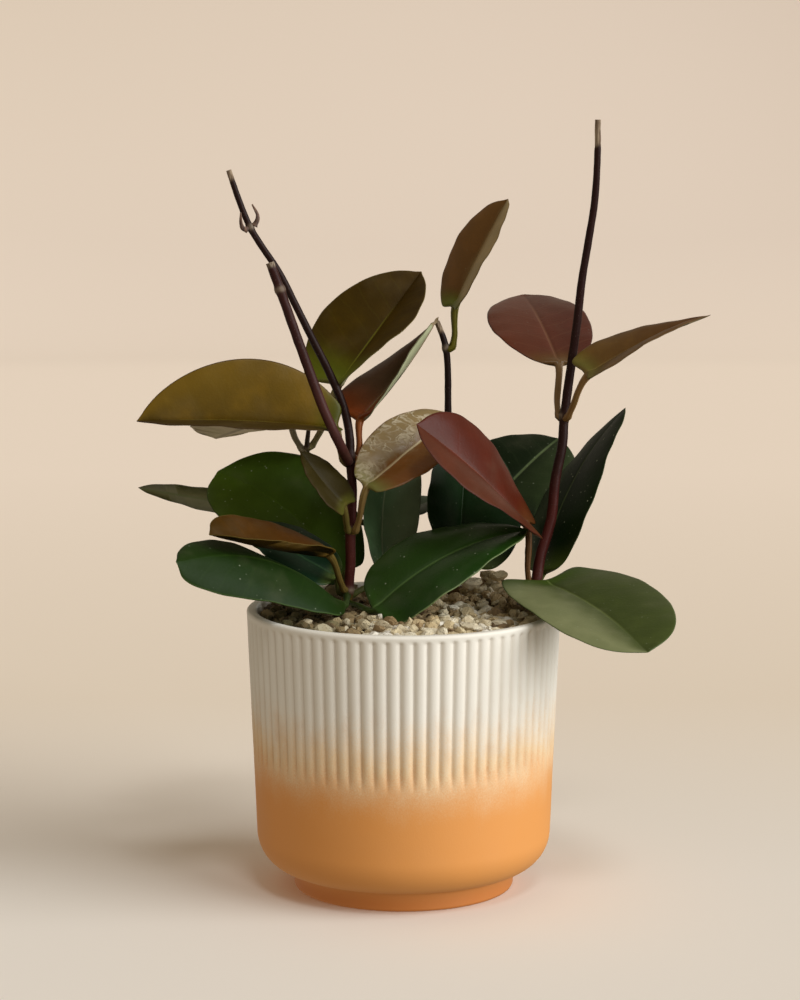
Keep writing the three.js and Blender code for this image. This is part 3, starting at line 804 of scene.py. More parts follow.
    def _stalk_path(self, at: np.ndarray) -> np.ndarray:
        """Finds the stalk's middle line, and runs it on into the stem.

        Args:
            at: shares of its length.

        Returns:
            One point for each share, after two more that lie inside the stem.
        """
        path = through(np.array([0, 0.3, 0.6, 0.85, 1.0]), self.stalk, at)
        straight = self.stalk[0] + at[:, None] * (self.stalk[-1] - self.stalk[0])
        path = path + self.straightness * (straight - path)
        towards = stem_point(path[0]) - path[0]
        below = unit(np.gradient(path, axis=0))[0] * 0.8 * MM
        return np.vstack([path[0] + 0.85 * towards - 1.4 * below, path[0] + 0.4 * towards - below, path])

    def _stalk_rings(self, out: np.ndarray, face: np.ndarray) -> tuple[np.ndarray, np.ndarray]:
        """Builds the stalk's rings, from inside the stem to just before the blade.

        Args:
            out: how far out each point of a ring lies.
            face: the face each point is on.

        Returns:
            The rings, and a reading under 0 for each that marks it as stalk.
        """
        at = np.concatenate([[0.0, 0.04, 0.1], np.linspace(0.18, 0.96, 13)])
        path = self._stalk_path(at)
        at = np.concatenate([[-0.2, -0.1], at])
        ahead = unit(np.gradient(path, axis=0))
        left = unit(self.left[0] - self.centre[0])
        across = unit(left - (ahead @ left)[:, None] * ahead)
        share = np.clip(at, 0, 1)
        length_mm = np.linalg.norm(self.stalk[-1] - self.stalk[0]) / MM
        collar = 1 + self.collar * np.exp(-(share * length_mm / 1.6) ** 2)
        swell = 1 + 0.05 * np.sin(9 * at + self.seed)
        radius = self.stalk_radius * (1 - self.slimness + self.slimness * share**3) * collar * swell
        level = face * np.sqrt(np.clip(1 - out**2, 0, 1))
        dent = 1 - self.channel * (level > 0) * np.exp(-(out / 0.35) ** 2)
        rings = tube(path, across, np.cross(ahead, across),
                     np.outer(radius, out), np.outer(radius, level * dent))
        return rings, -0.02 - 0.2 * (1 - share)

    def build(self) -> bpy.types.Object:
        """Makes the leaf in place of its node.

        Returns:
            The leaf.
        """
        rings, readings = self.rings()
        points, faces = skin(rings)
        ends = {"along": [-0.22, 1.0], "across": [0, 0], "face": [0, 0],
                "rib_mm": [0.5, 0], "edge_mm": [3, 0]}
        for key, extra in ends.items():
            readings[key] += extra
        material = self.finish.material("skin_" + self.name, self.seed * 1.37)
        made = piece("blade_" + self.name, points, faces, material, readings)
        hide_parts(self.node)
        return (made, slot_of(self.node))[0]


def slot_of(node: str) -> str:
    """The record's material slot of a node."""
    return next(s["material_slot"] for s in frame["record"]["subparts"] if s["node"] == node)


# ---- Stems ----

@dataclass(frozen=True)
class BarkFinish:
    """The skin of a stem, from its foot in the gravel to its dry end."""

    low: str
    high: str
    collar: str = "66541f"
    dry: str = "a5927a"
    dry_length: float = 5.0       # millimetres of dry, pale stem at the top
    collar_height: float = 5.0    # millimetres of green stem over the gravel
    turn: float = 35.0            # height in millimetres at which the low colour gives way
    warts: float = 0.5
    gloss: float = 0.36

    def material(self, name: str) -> bpy.types.Material:
        """Builds the finish.

        Args:
            name: the material's name.

        Returns:
            The material.
        """
        s = Surface(name)
        up, down, knot = s.reading("up_mm"), s.reading("down_mm"), s.reading("knot")
        patch = s.grain(240, 3.0, (1, 1, 0.35))
        fine = s.grain(1400, 2.0)
        turned = s.ease(s.plus(up, s.times(patch, 14.0)), self.turn, self.turn + 26)
        body = s.mix(turned, tone(self.low), tone(self.high))
        shaded = s.mix(1.0, body, (0.5, 0.45, 0.5, 1), "MULTIPLY")
        body = s.mix(s.times(s.ease(patch, 0.35, 0.7), 0.4), body, shaded)
        body = s.mix(s.ease(up, self.collar_height + 4, self.collar_height), body, tone(self.collar))
        spots = s.ease(s.cells(900), 0.17, 0.08)
        body = s.mix(s.times(spots, self.warts), body, tone("8a7468"))
        body = s.mix(s.times(knot, s.ease(patch, 0.3, 0.62)), body, tone("8d7c6a"))
        fibre = s.grain(900, 4.0, (1, 1, 0.12))
        straw = s.mix(s.ease(fibre, 0.3, 0.7), tone(self.dry), tone("5a4636"))
        dried = s.ease(s.plus(down, s.times(patch, 3.0)), self.dry_length + 2.5, self.dry_length)
        s.colour(s.mix(dried, body, straw))
        rough = s.plus(self.gloss, s.times(fine, 0.14))
        s.set(Roughness=s.plus(rough, s.times(dried, 0.3)), Specular_IOR_Level=0.14)
        s.relief(s.plus(s.times(fine, 0.3), s.times(spots, 0.6)), 0.18 * MM)
        return s.material


@dataclass
class Stem:
    """One stem over its node's rings, with ringed nodes and leaf scars."""

    name: str
    finish: BarkFinish
    seed: int
    sides: int = 20
    step: float = 1.1 * MM
    ridge: float = 0.10           # how much the dry end is ribbed, as a share of its radius
    fullness: float = 1.1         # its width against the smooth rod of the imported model

    def rings(self) -> tuple[np.ndarray, dict[str, list]]:
        """Builds the stem's rings.

        Returns:
            The rings, and the readings that the finish takes from each point.
        """
        cad = CadSkin("stem_" + self.name, 8)
        middles = np.array([ring.mean(axis=0) for ring in cad.rings])
        radii = np.array([np.linalg.norm(r - r.mean(axis=0), axis=1).mean() for r in cad.rings])
        run = distances(middles)
        at = np.arange(0, run[-1], self.step)
        path = through(run, middles, at)
        radius = np.interp(at, run, radii) * self.fullness
        knot = self._knots(run, radii, at)
        ahead = unit(np.gradient(path, axis=0))
        across = unit(np.cross(np.array([0.0, 1.0, 0.0]), ahead))
        up_mm = (path[:, 2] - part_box("medium")[1].z) / MM + 3
        down_mm = (run[-1] - at) / MM
        dried = 1 - smooth(down_mm, self.finish.dry_length - 1, self.finish.dry_length + 2)
        angle = np.linspace(0, 2 * np.pi, self.sides, endpoint=False)
        wobble = np.array([[noise.noise(Vector(p) * 260 + Vector((math.cos(a), math.sin(a), self.seed)))
                            for a in angle] for p in path])
        ribs = self.ridge * dried[:, None] * np.sin(5 * angle + 3 * at[:, None] / (8 * MM))
        flare = 1 + 0.10 * knot**2 + 0.16 * np.exp(-(np.clip(up_mm, 0, 99) / 3.0) ** 2)
        reach = radius[:, None] * (flare[:, None] + 0.05 * wobble + ribs) * (1 - 0.12 * dried[:, None])
        rings = tube(path, across, np.cross(ahead, across), reach * np.cos(angle), reach * np.sin(angle))
        readings = {"up_mm": up_mm, "down_mm": down_mm, "knot": knot}
        return rings, {key: np.repeat(value, self.sides).tolist() for key, value in readings.items()}

    @staticmethod
    def _knots(run: np.ndarray, radii: np.ndarray, at: np.ndarray) -> np.ndarray:
        """Finds the swollen nodes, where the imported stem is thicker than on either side.

        Args:
            run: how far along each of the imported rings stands.
            radii: their radii.
            at: the places to mark.

        Returns:
            How near each place is to a node, from 0 to 1.
        """
        knot = np.zeros(len(at))
        for i in range(1, len(radii) - 1):
            if radii[i] > 1.05 * radii[i - 1] and radii[i] > 1.05 * radii[i + 1]:
                knot = np.maximum(knot, np.exp(-((at - run[i]) / (1.1 * MM)) ** 2))
        return knot

    def build(self) -> bpy.types.Object:
        """Makes the stem in place of its node.

        Returns:
            The stem.
        """
        rings, readings = self.rings()
        points, faces = skin(rings)
        for key, values in readings.items():
            values += [values[0], values[-1]]
        made = piece("shoot_" + self.name, points, faces,
                     self.finish.material("bark_" + self.name), readings)
        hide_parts("stem_" + self.name)
        return made


@dataclass(frozen=True)
class WitheredFinish:
    """Dry, fibrous bark in dark and pale brown."""

    dark: str = "36231f"
    pale: str = "7c5f4c"

    def material(self, name: str) -> bpy.types.Material:
        """Builds the finish.

        Args:
            name: the material's name.

        Returns:
            The material.
        """
        s = Surface(name)
        fibre = s.grain(1100, 4.0, (1, 1, 0.3))
        s.colour(s.mix(s.ease(fibre, 0.3, 0.7), tone(self.dark), tone(self.pale)))
        s.set(Roughness=s.plus(0.6, s.times(fibre, 0.25)))
        s.relief(fibre, 0.2 * MM)
        return s.material


@dataclass
class DriedStub:
    """A withered leaf stalk left at a node."""

    side: str
    seed: int
    sides: int = 12
    stations: int = 30
    foot_radius: float = 1.15 * MM
    tip_radius: float = 0.3 * MM
    sunk: float = 0.6 * MM        # how far its foot reaches into the stem
    folds: float = 0.14           # depth of its three folds, as a share of its radius
    swelling: float = 0.2         # how far its foot is swollen

    def rings(self) -> np.ndarray:
        """Builds the stub's rings, over its node's.

        Returns:
            The rings.
        """
        cad = CadSkin("dried_stub_" + self.side, 6)
        middles = np.array([cad.foot, *[ring.mean(axis=0) for ring in cad.rings[1:]], cad.tip])
        middles = np.vstack([middles[0] - unit(middles[1] - middles[0]) * self.sunk, middles])
        run = distances(middles)
        at = np.linspace(0, run[-1], self.stations)
        path = through(run, middles, at)
        ahead = unit(np.gradient(path, axis=0))
        across = unit(np.cross(np.array([0.1, 1.0, 0.2]), ahead))
        angle = np.linspace(0, 2 * np.pi, self.sides, endpoint=False)
        share = (at / run[-1])[:, None]
        reach = self.foot_radius - (self.foot_radius - self.tip_radius) * share
        reach = reach * (1 + self.folds * np.sin(3 * angle + 6 * share + self.seed))
        reach = reach * (1 + self.swelling * np.exp(-(share / 0.1) ** 2))
        return tube(path, across, np.cross(ahead, across), reach * np.cos(angle), reach * np.sin(angle))

    def build(self) -> bpy.types.Object:
        """Makes the stub in place of its node.

        Returns:
            The stub.
        """
        node = "dried_stub_" + self.side
        points, faces = skin(self.rings())
        material = WitheredFinish().material("withered_" + self.side)
        made = piece("withered_stalk_" + self.side, points, faces, material)
        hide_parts(node)
        return made


# ---- Pot ----

@dataclass(frozen=True)
class FadedGlaze:
    """A matte glaze that fades from cream at the rim to orange at the foot."""

    cream: str = "f3efe4"
    sand: str = "f5d6ab"
    orange: str = "ea9e50"
    foot: str = "d07c34"
    fade_top: float = 87 * MM
    fade_low: float = 38 * MM

    def material(self) -> bpy.types.Material:
        """Builds the finish.

        Returns:
            The material.
        """
        s = Surface("faded_glaze")
        height = s.node("SeparateXYZ", {0: s.place()}).outputs[2]
        streak = s.grain(120, 3.0, (1, 1, 0.12))
        cloud = s.grain(55, 3.0)
        dust = s.grain(1700, 2.0)
        groove = s.reading("groove")
        level = s.plus(height, s.times(groove, -2.5 * MM))
        for wander, reach in ((streak, 9 * MM), (cloud, 17 * MM), (dust, 15 * MM)):
            level = s.plus(level, s.times(s.minus(wander, 0.5), reach))
        fade = s.ease(level, self.fade_low, self.fade_top)
        body = s.ramp(fade, {0.0: self.orange, 0.5: self.sand, 1.0: self.cream})
        # Darker orange at the foot, partly painted shade under the rounded base.
        body = s.mix(s.ease(height, 12 * MM, 2 * MM), body, tone(self.foot))
        # Painted shade: darker in the flute grooves.
        body = s.mix(s.times(groove, 0.16), body, s.mix(1.0, body, tone("b39a82"), "MULTIPLY"))
        speck = s.times(s.ease(s.cells(420), 0.10, 0.05), s.ease(dust, 0.45, 0.6))
        body = s.mix(s.times(speck, 0.18), body, tone("a98b68"))
        belt = s.times(s.ease(level, 96 * MM, 74 * MM), s.ease(level, 50 * MM, 66 * MM))
        tan = s.times(s.ease(s.grain(170, 4.0, (1, 1, 0.4)), 0.42, 0.8), belt)
        body = s.mix(s.times(tan, 0.28), body, tone("cf9a5e"))
        s.colour(s.mix(s.times(cloud, 0.10), body, tone("c9a988")))
        s.set(Roughness=s.plus(0.52, s.times(dust, 0.16)), Specular_IOR_Level=0.45)
        s.relief(s.plus(s.times(dust, 0.5), s.times(cloud, 0.5)), 0.12 * MM, 0.6)
        return s.material


@dataclass
class FlutedPot:
    """The ceramic pot: a round wall with soft flutes over a rounded base and a narrow foot."""

    body_taper: float = 3.8 * MM
    wall: float = 4.2 * MM
    floor: float = 6 * MM         # thickness of its bottom
    base_width: float = 14 * MM
    base_height: float = 15.5 * MM
    foot_radius: float = 45.7 * MM
    foot_height: float = 8.5 * MM
    foot_flare: float = 1.2 * MM
    lip: float = 1.9 * MM         # plain band between the rim and the flutes
    lip_round: float = 1.25 * MM
    lip_fade: float = 1.6 * MM    # height over which the flutes fade out under the lip
    flutes: int = 75
    flute_depth: float = 1.1 * MM
    flute_length: float = 63.3 * MM
    flute_fade: float = 10 * MM
    across_flute: int = 10        # points across one flute
    flute_edge: float = 1.35      # how sharp the flutes' valleys are against their ridges
    unevenness: float = 0.16 * MM
    inner_round: float = 12 * MM

    def __post_init__(self) -> None:
        """Takes the pot's height and width from its node."""
        low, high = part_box("pot")
        self.height = high.z
        self.rim = (high.x - low.x) / 2
        self.low_radius = self.rim - self.body_taper
        self.low_height = self.foot_height + self.base_height

    def _radius(self, z: float) -> float:
        """The body's outer radius at a height, from the rounded base up."""
        share = max(0.0, (z - self.low_height) / (self.height - self.low_height))
        return self.low_radius + self.body_taper * share

    def _foot(self) -> list[tuple[float, float, float]]:
        """Outlines the flat underside, the foot and the rounded base.

        Returns:
            The radius, the height and the depth of the flutes at each place.
        """
        foot = self.foot_radius
        line = [(foot * k, 0.0, 0.0) for k in (0.3, 0.7, 0.93)]
        line += [(foot - 1.1 * MM, 0.0, 0.0), (foot - 0.35 * MM, 0.25 * MM, 0.0), (foot, 1.0 * MM, 0.0)]
        for k in np.linspace(0.15, 0.9, 7):
            line.append((foot + self.foot_flare * k**2, self.foot_height * k, 0.0))
        for turn in np.radians(np.linspace(78, 0, 16)):
            radius = self.low_radius - self.base_width * (1 - math.cos(turn))
            line.append((radius, self.low_height - self.base_height * math.sin(turn), 0.0))
        return line

    def _fluted_wall(self) -> list[tuple[float, float, float]]:
        """Outlines the wall from the rounded base to the lip.

        Returns:
            The radius, the height and the depth of the flutes at each place.
        """
        top = self.height - self.lip
        bottom = top - self.flute_length
        full, upper = bottom + self.flute_fade, top - 3 * MM
        line = []
        spans = ((self.low_height, bottom, 12), (bottom, full, 12), (full, upper, 18), (upper, top, 9))
        for low, high, count in spans:
            for z in np.linspace(low, high, count)[1:]:
                fade = float(smooth(z, bottom, full) * (1 - smooth(z, top - self.lip_fade, top)))
                line.append((self._radius(z), z, self.flute_depth * fade))
        return line

    def _inside(self) -> list[tuple[float, float, float]]:
        """Outlines the rounded rim, the inner wall and the inner floor.

        Returns:
            The radius, the height and the depth of the flutes at each place.
        """
        line = []
        quarter = np.linspace(0, 90, 7)
        for edge, inward, turns in ((self.rim, -1, quarter), (self.rim - self.wall, 1, quarter[::-1])):
            for turn in np.radians(turns):
                line.append((edge + inward * self.lip_round * (1 - math.cos(turn)),
                             self.height - self.lip_round * (1 - math.sin(turn)), 0.0))
        bottom = self.foot_height + self.floor
        for z in np.linspace(self.height - 4 * MM, bottom + self.inner_round, 9):
            line.append((self._radius(z) - self.wall, z, 0.0))
        for turn in np.radians(np.linspace(15, 90, 6)):
            line.append((self.low_radius - self.wall - self.inner_round * (1 - math.cos(turn)),
                         bottom + self.inner_round * (1 - math.sin(turn)), 0.0))
        return line + [(20 * MM, bottom, 0.0), (6 * MM, bottom, 0.0)]

    def build(self) -> bpy.types.Object:
        """Makes the pot in place of its node.

        Returns:
            The pot.
        """
        count = self.flutes * self.across_flute
        angle = np.linspace(0, 2 * np.pi, count, endpoint=False)
        dip = (1 - np.abs(np.sin(0.5 * self.flutes * angle))) ** self.flute_edge
        round_way = 2.2 * np.stack([np.cos(angle), np.sin(angle)], axis=1)
        rings, grooves = [], []
        for radius, z, depth in self._foot() + self._fluted_wall() + self._inside():
            sway = np.array([noise.noise(Vector((x, y, 30 * z))) for x, y in round_way])
            soft = self.unevenness * sway * smooth(z, 2 * MM, 20 * MM) * (radius > 40 * MM)
            reach = radius - depth * dip - np.abs(soft)
            rings.append(np.stack([reach * np.cos(angle), reach * np.sin(angle), np.full(count, z)], axis=1))
            grooves.append(dip * depth / self.flute_depth)
        points, faces = skin(np.array(rings))
        readings = {"groove": [*np.concatenate(grooves).tolist(), 0.0, 0.0]}
        made = piece("fluted_pot", points, faces, FadedGlaze().material(), readings)
        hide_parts("pot")
        return made


# ---- Gravel ----

@dataclass(frozen=True)
class PumiceFinish:
    """Rough, porous stone in creams and browns, with painted shade from its readings."""

    name: str

    def material(self) -> bpy.types.Material:
        """Builds the finish.

        Returns:
            The material.
        """
        s = Surface(self.name)
        # The darkest tints carry the painted shade laid on stones round the stems and in patches.
        plain = s.ramp(s.reading("tint"), {0.0: "3f362c", 0.12: "5c4a36", 0.28: "8a7150", 0.45: "b59d74",
                                           0.62: "d2c19a", 0.8: "e6dcc2", 1.0: "f1ece0"})
        patch = s.grain(420, 4.0)
        pores = s.ease(s.cells(1300), 0.12, 0.42)
        # Painted shade: darker and greener where a stone lies to the left.
        painted_shade = s.mix(1.0, plain, tone("5f6a50"), "MULTIPLY")
        body = s.mix(s.reading("painted_shade"), plain, painted_shade)
        body = s.mix(s.times(s.ease(patch, 0.35, 0.75), 0.35), body, tone("9a7f58"))
        body = s.mix(s.times(s.minus(1.0, pores), 0.35), body, tone("7c6a53"))
        s.colour(body)
        s.set(Roughness=s.plus(0.78, s.times(patch, 0.15)), Specular_IOR_Level=0.3)
        s.relief(s.plus(s.times(pores, 0.6), s.times(patch, 0.5)), 0.35 * MM)
        return s.material


@dataclass(frozen=True)
class GritFinish:
    """Dark grit under the stones, partly painted shade in the gaps between them."""

    dark: str = "3a3128"
    pale: str = "85745b"

    def material(self) -> bpy.types.Material:
        """Builds the finish.

        Returns:
            The material.
        """
        s = Surface("gap_shade_grit")
        patch = s.grain(260, 4.0)
        # Its darkness is partly painted shade in the gaps between the stones.
        s.colour(s.mix(s.ease(patch, 0.3, 0.7), tone(self.dark), tone(self.pale)))
        s.set(Roughness=s.plus(0.75, s.times(patch, 0.2)))
        s.relief(patch, 0.8 * MM)
        return s.material


@dataclass
class Stones:
    """Broken stones, each chipped by flat faces of its own."""

    seed: int
    edge: float = 30.0            # how sharp the edges between the faces are
    fewest: int = 8               # chipped faces on a stone
    most: int = 12
    roughness: float = 0.11

    def __post_init__(self) -> None:
        """Starts with the round grids of directions that every stone is cut from."""
        self.random = random.Random(self.seed)
        self.fine, self.plain = self._grid(3), self._grid(2)

    @staticmethod
    def _grid(subdivisions: int) -> tuple[np.ndarray, np.ndarray]:
        """Makes a round mesh.

        Args:
            subdivisions: how finely it is divided.

        Returns:
            Its directions from the middle, and its faces.
        """
        ball = bmesh.new()
        bmesh.ops.create_icosphere(ball, subdivisions=subdivisions, radius=1.0)
        directions = unit(np.array([v.co for v in ball.verts]))
        faces = np.array([[v.index for v in f.verts] for f in ball.faces])
        ball.free()
        return directions, faces

    def stone(self, size: float, detail: bool = False) -> tuple[np.ndarray, np.ndarray]:
        """Cuts one stone.

        Args:
            size: its mean width in metres.
            detail: whether it is large enough to need a finer skin.

        Returns:
            Its points about its middle, and its faces.
        """
        draw = self.random
        directions, faces = self.fine if detail else self.plain
        count = draw.randint(self.fewest, self.most)
        cuts = unit(np.array([[draw.gauss(0, 1) for _ in range(3)] for _ in range(count)]))
        depth = np.array([draw.uniform(0.62, 1.0) for _ in cuts])
        facing = np.maximum(directions @ cuts.T, 0.05)
        reach = np.clip(-np.log(np.exp(-self.edge * depth / facing).sum(axis=1)) / self.edge, 0.45, 1.3)
        shift = Vector((draw.random() * 50, draw.random() * 50, 0))
        rough = np.array([noise.noise(Vector(d) * 2.2 + shift) + 0.5 * noise.noise(Vector(d) * 6 + shift)
                          for d in directions])
        reach = reach * (1 + self.roughness * rough)
        stretch = np.array([draw.uniform(0.95, 1.45), draw.uniform(0.75, 1.05), draw.uniform(0.6, 0.95)])
        return (directions * reach[:, None] * stretch * 0.5 * size) @ self._turn().T, faces

    def _turn(self) -> np.ndarray:
        """Draws a random turn, mostly about the upright axis.

        Returns:
            The turn, as a matrix.
        """
        a, b = self.random.uniform(0, 2 * math.pi), self.random.gauss(0, 0.5)
        ca, sa, cb, sb = math.cos(a), math.sin(a), math.cos(b), math.sin(b)
        return np.array([[ca, -sa * cb, sa * sb], [sa, ca * cb, -ca * sb], [0, sb, cb]])


@dataclass(frozen=True)
class StoneLayer:
    """One layer of small stones in the bed."""

    count: int
    lift: float                   # how far a stone's middle stands over the bed, in its widths
    least: float                  # width of the smallest stone, in millimetres
    most: float
    tries: int = 7                # places tried for each stone


@dataclass
class Heap:
    """Many stones gathered into one mesh, with the readings for their finish."""

    points: list[np.ndarray] = field(default_factory=list)
    faces: list[np.ndarray] = field(default_factory=list)
    tints: list[float] = field(default_factory=list)
    painted_shades: list[float] = field(default_factory=list)

    def add(self, stone: tuple[np.ndarray, np.ndarray], place: tuple[float, float, float],
            tint: float, painted_shade: float) -> None:
        """Adds one stone.

        Args:
            stone: its points and its faces.
            place: where its middle stands.
            tint: how pale it is, with painted shade darkening it.
            painted_shade: how much painted shade darkens and greens it.
        """
        corners, sides = stone
        self.faces.append(sides + len(self.tints))
        self.points.append(corners + np.array(place))
        self.tints += [tint] * len(corners)
        self.painted_shades += [painted_shade] * len(corners)

    def build(self) -> bpy.types.Object:
        """Makes the mesh.

        Returns:
            The bed of stones.
        """
        points, faces = np.concatenate(self.points).tolist(), np.concatenate(self.faces).tolist()
        readings = {"tint": self.tints, "painted_shade": self.painted_shades}
        made = piece("pumice_bed", points, faces, PumiceFinish("pumice_bed").material(), readings)
        made.data.set_sharp_from_angle(angle=math.radians(24))
        return made


@dataclass
class GravelBed:
    """The pumice that fills the pot: a bed of stones, and larger loose ones on top."""

    seed: int = 11
    layers: tuple[StoneLayer, ...] = (
        StoneLayer(470, 0.05, 3.4, 6.6, 14), StoneLayer(260, 0.5, 1.5, 3.0), StoneLayer(150, 0.55, 3.0, 7.4))
    clear: float = 59.6 * MM      # how far from the pot's axis the stones may reach
    mound: tuple[float, float] = (37 * MM, 33 * MM)
    mound_rise: float = 8 * MM
    mound_spread: float = 10 * MM
    mound_stones: int = 130

    def __post_init__(self) -> None:
        """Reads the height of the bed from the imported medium."""
        self.stones = Stones(self.seed)
        self.random = random.Random(self.seed + 1)
        self.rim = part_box("pot")[1].z
        corners = np.array([v.co for v in frame["nodes"]["medium"].data.vertices])
        self.heights = corners[corners[:, 2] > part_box("medium")[1].z - 12 * MM]
        self.stems = self._stem_feet()

    def _stem_feet(self) -> list[tuple[float, float, float]]:
        """Finds where each rooted stem comes out of the bed.

        Returns:
            Its place and its radius.
        """
        feet = []
        for node in sorted(n for n in frame["nodes"] if n.startswith("stem_")):
            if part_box(node)[0].z < self.rim - 5 * MM:
                rings = CadSkin(node, 8).rings
                ring = min(rings, key=lambda r: abs(r.mean(axis=0)[2] - (self.rim - 2 * MM)))
                middle = ring.mean(axis=0)
                feet.append((middle[0], middle[1], float(np.linalg.norm(ring[0] - middle))))
        return feet

    def surface(self, x: float, y: float) -> float:
        """Reads the height of the bed, from the medium's nearest corners.

        Args:
            x: how far to the right, in metres.
            y: how far back.

        Returns:
            The height, with the mound.
        """
        gap = np.hypot(self.heights[:, 0] - x, self.heights[:, 1] - y) + 0.3 * MM
        near = np.argsort(gap)[:5]
        weight = 1 / gap[near] ** 2
        flat = float((self.heights[near, 2] * weight).sum() / weight.sum())
        away = math.hypot(x - self.mound[0], y - self.mound[1]) / self.mound_spread
        return flat + self.mound_rise * math.exp(-away * away)

    def _spot(self, taken: list[tuple[float, float, float]], size: float, tries: int) -> tuple[float, float]:
        """Picks a place for a stone, away from the others and from the stems.

        Args:
            taken: the places and sizes of the layer's other stones.
            size: the stone's width.
            tries: how many places to draw.

        Returns:
            The freest of the places drawn.
        """
        best, room = (0.0, 0.0), -1e9
        for _ in range(tries):
            radius = (self.clear - 0.55 * size) * math.sqrt(self.random.random())
            angle = self.random.uniform(0, 2 * math.pi)
            x, y = radius * math.cos(angle), radius * math.sin(angle)
            gap = min([math.hypot(x - a, y - b) - 0.42 * (size + c) for a, b, c in taken] or [1.0])
            foot = min(math.hypot(x - a, y - b) - c - 0.40 * size for a, b, c in self.stems)
            free = min(gap, foot * 3 if foot < 0 else 1.0)
            if free > room:
                best, room = (x, y), free
        return best

    def _tint(self, x: float, y: float) -> tuple[float, float]:
        """Colours a stone, with painted shade round the stems, in patches and to the left, and painted light
        making it paler to the front.

        Args:
            x: how far to the right it lies, in metres.
            y: how far back.

        Returns:
            How pale it is, and how much painted shade darkens and greens it.
        """
        # Painted shade: darker round the stems, in patches and, greener, to the left; painted light: paler
        # to the front.
        near = min(math.hypot(x - a, y - b) for a, b, _ in self.stems)
        patch = noise.noise(Vector((x * 60, y * 60, 4.0)))
        front = float(smooth(-y, -10 * MM, 35 * MM))
        unshaded = float(smooth(near, 5 * MM, 22 * MM)) * float(smooth(patch, -0.5, 0.1))
        pale = 0.36 + 0.5 * unshaded + 0.2 * front
        painted_shade = float(smooth(-x, 5 * MM, 35 * MM)) * self.random.uniform(0.4, 1.0)
        return self.random.betavariate(3.6, 1.3) * pale * (1 - 0.4 * painted_shade), painted_shade

    def _lay(self, heap: Heap, layer: StoneLayer) -> None:
        """Lays one layer of stones all over the bed.

        Args:
            heap: where they are gathered.
            layer: what they are like.
        """
        taken: list[tuple[float, float, float]] = []
        for _ in range(layer.count):
            size = self.random.triangular(layer.least, layer.most, layer.least + 0.9) * MM
            x, y = self._spot(taken, size, layer.tries)
            taken.append((x, y, size))
            stone = self.stones.stone(size)
            z = self.surface(x, y) + (layer.lift + self.random.uniform(-0.12, 0.12)) * size
            z = min(z, self.rim + 0.5 * MM - 0.34 * size + 14 * MM * smooth(y, 5 * MM, 30 * MM))
            heap.add(stone, (x, y, z), *self._tint(x, y))

    def bed(self) -> bpy.types.Object:
        """Lays the layers of small stones, and more of them over the mound.

        Returns:
            The bed.
        """
        heap = Heap()
        for layer in self.layers:
            self._lay(heap, layer)
        for _ in range(self.mound_stones):
            size = self.random.uniform(2.8, 5.4) * MM
            x, y = (centre + self.random.gauss(0, 0.6) * self.mound_spread for centre in self.mound)
            stone = self.stones.stone(size)
            z = self.surface(x, y) - self.random.uniform(0.2, 1.1) * size
            heap.add(stone, (x, y, z), self._tint(x, y)[0], 0.0)
        return heap.build()

    def loose(self) -> list[bpy.types.Object]:
        """Makes the larger stones in place of their nodes.

        Returns:
            The stones.
        """
        finish = PumiceFinish("loose_pumice").material()
        made = []
        for node in sorted(n for n in frame["nodes"] if n.startswith("chip_")):
            low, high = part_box(node)
            size = max(high.x - low.x, high.y - low.y) * 1.08
            points, faces = self.stones.stone(size, detail=True)
            points = points * np.array([1, 1, 0.8]) + np.array((low + high) / 2)
            readings = {"tint": [self.random.uniform(0.7, 1.0)] * len(points), "painted_shade": [0.0] * len(points)}
            stone = piece("pumice_" + node, points.tolist(), faces.tolist(), finish, readings)
            stone.data.set_sharp_from_angle(angle=math.radians(20))
            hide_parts(node)
            made.append(stone)
        return made

    def build(self) -> list[bpy.types.Object]:
        """Builds the whole filling, and gives the medium under it its finish.

        Returns:
            The bed and the larger stones.
        """
        medium = frame["nodes"]["medium"]
        medium.data.materials.clear()
        medium.data.materials.append(GritFinish().material())
        return [self.bed(), *self.loose()]


# ---- The plant ----

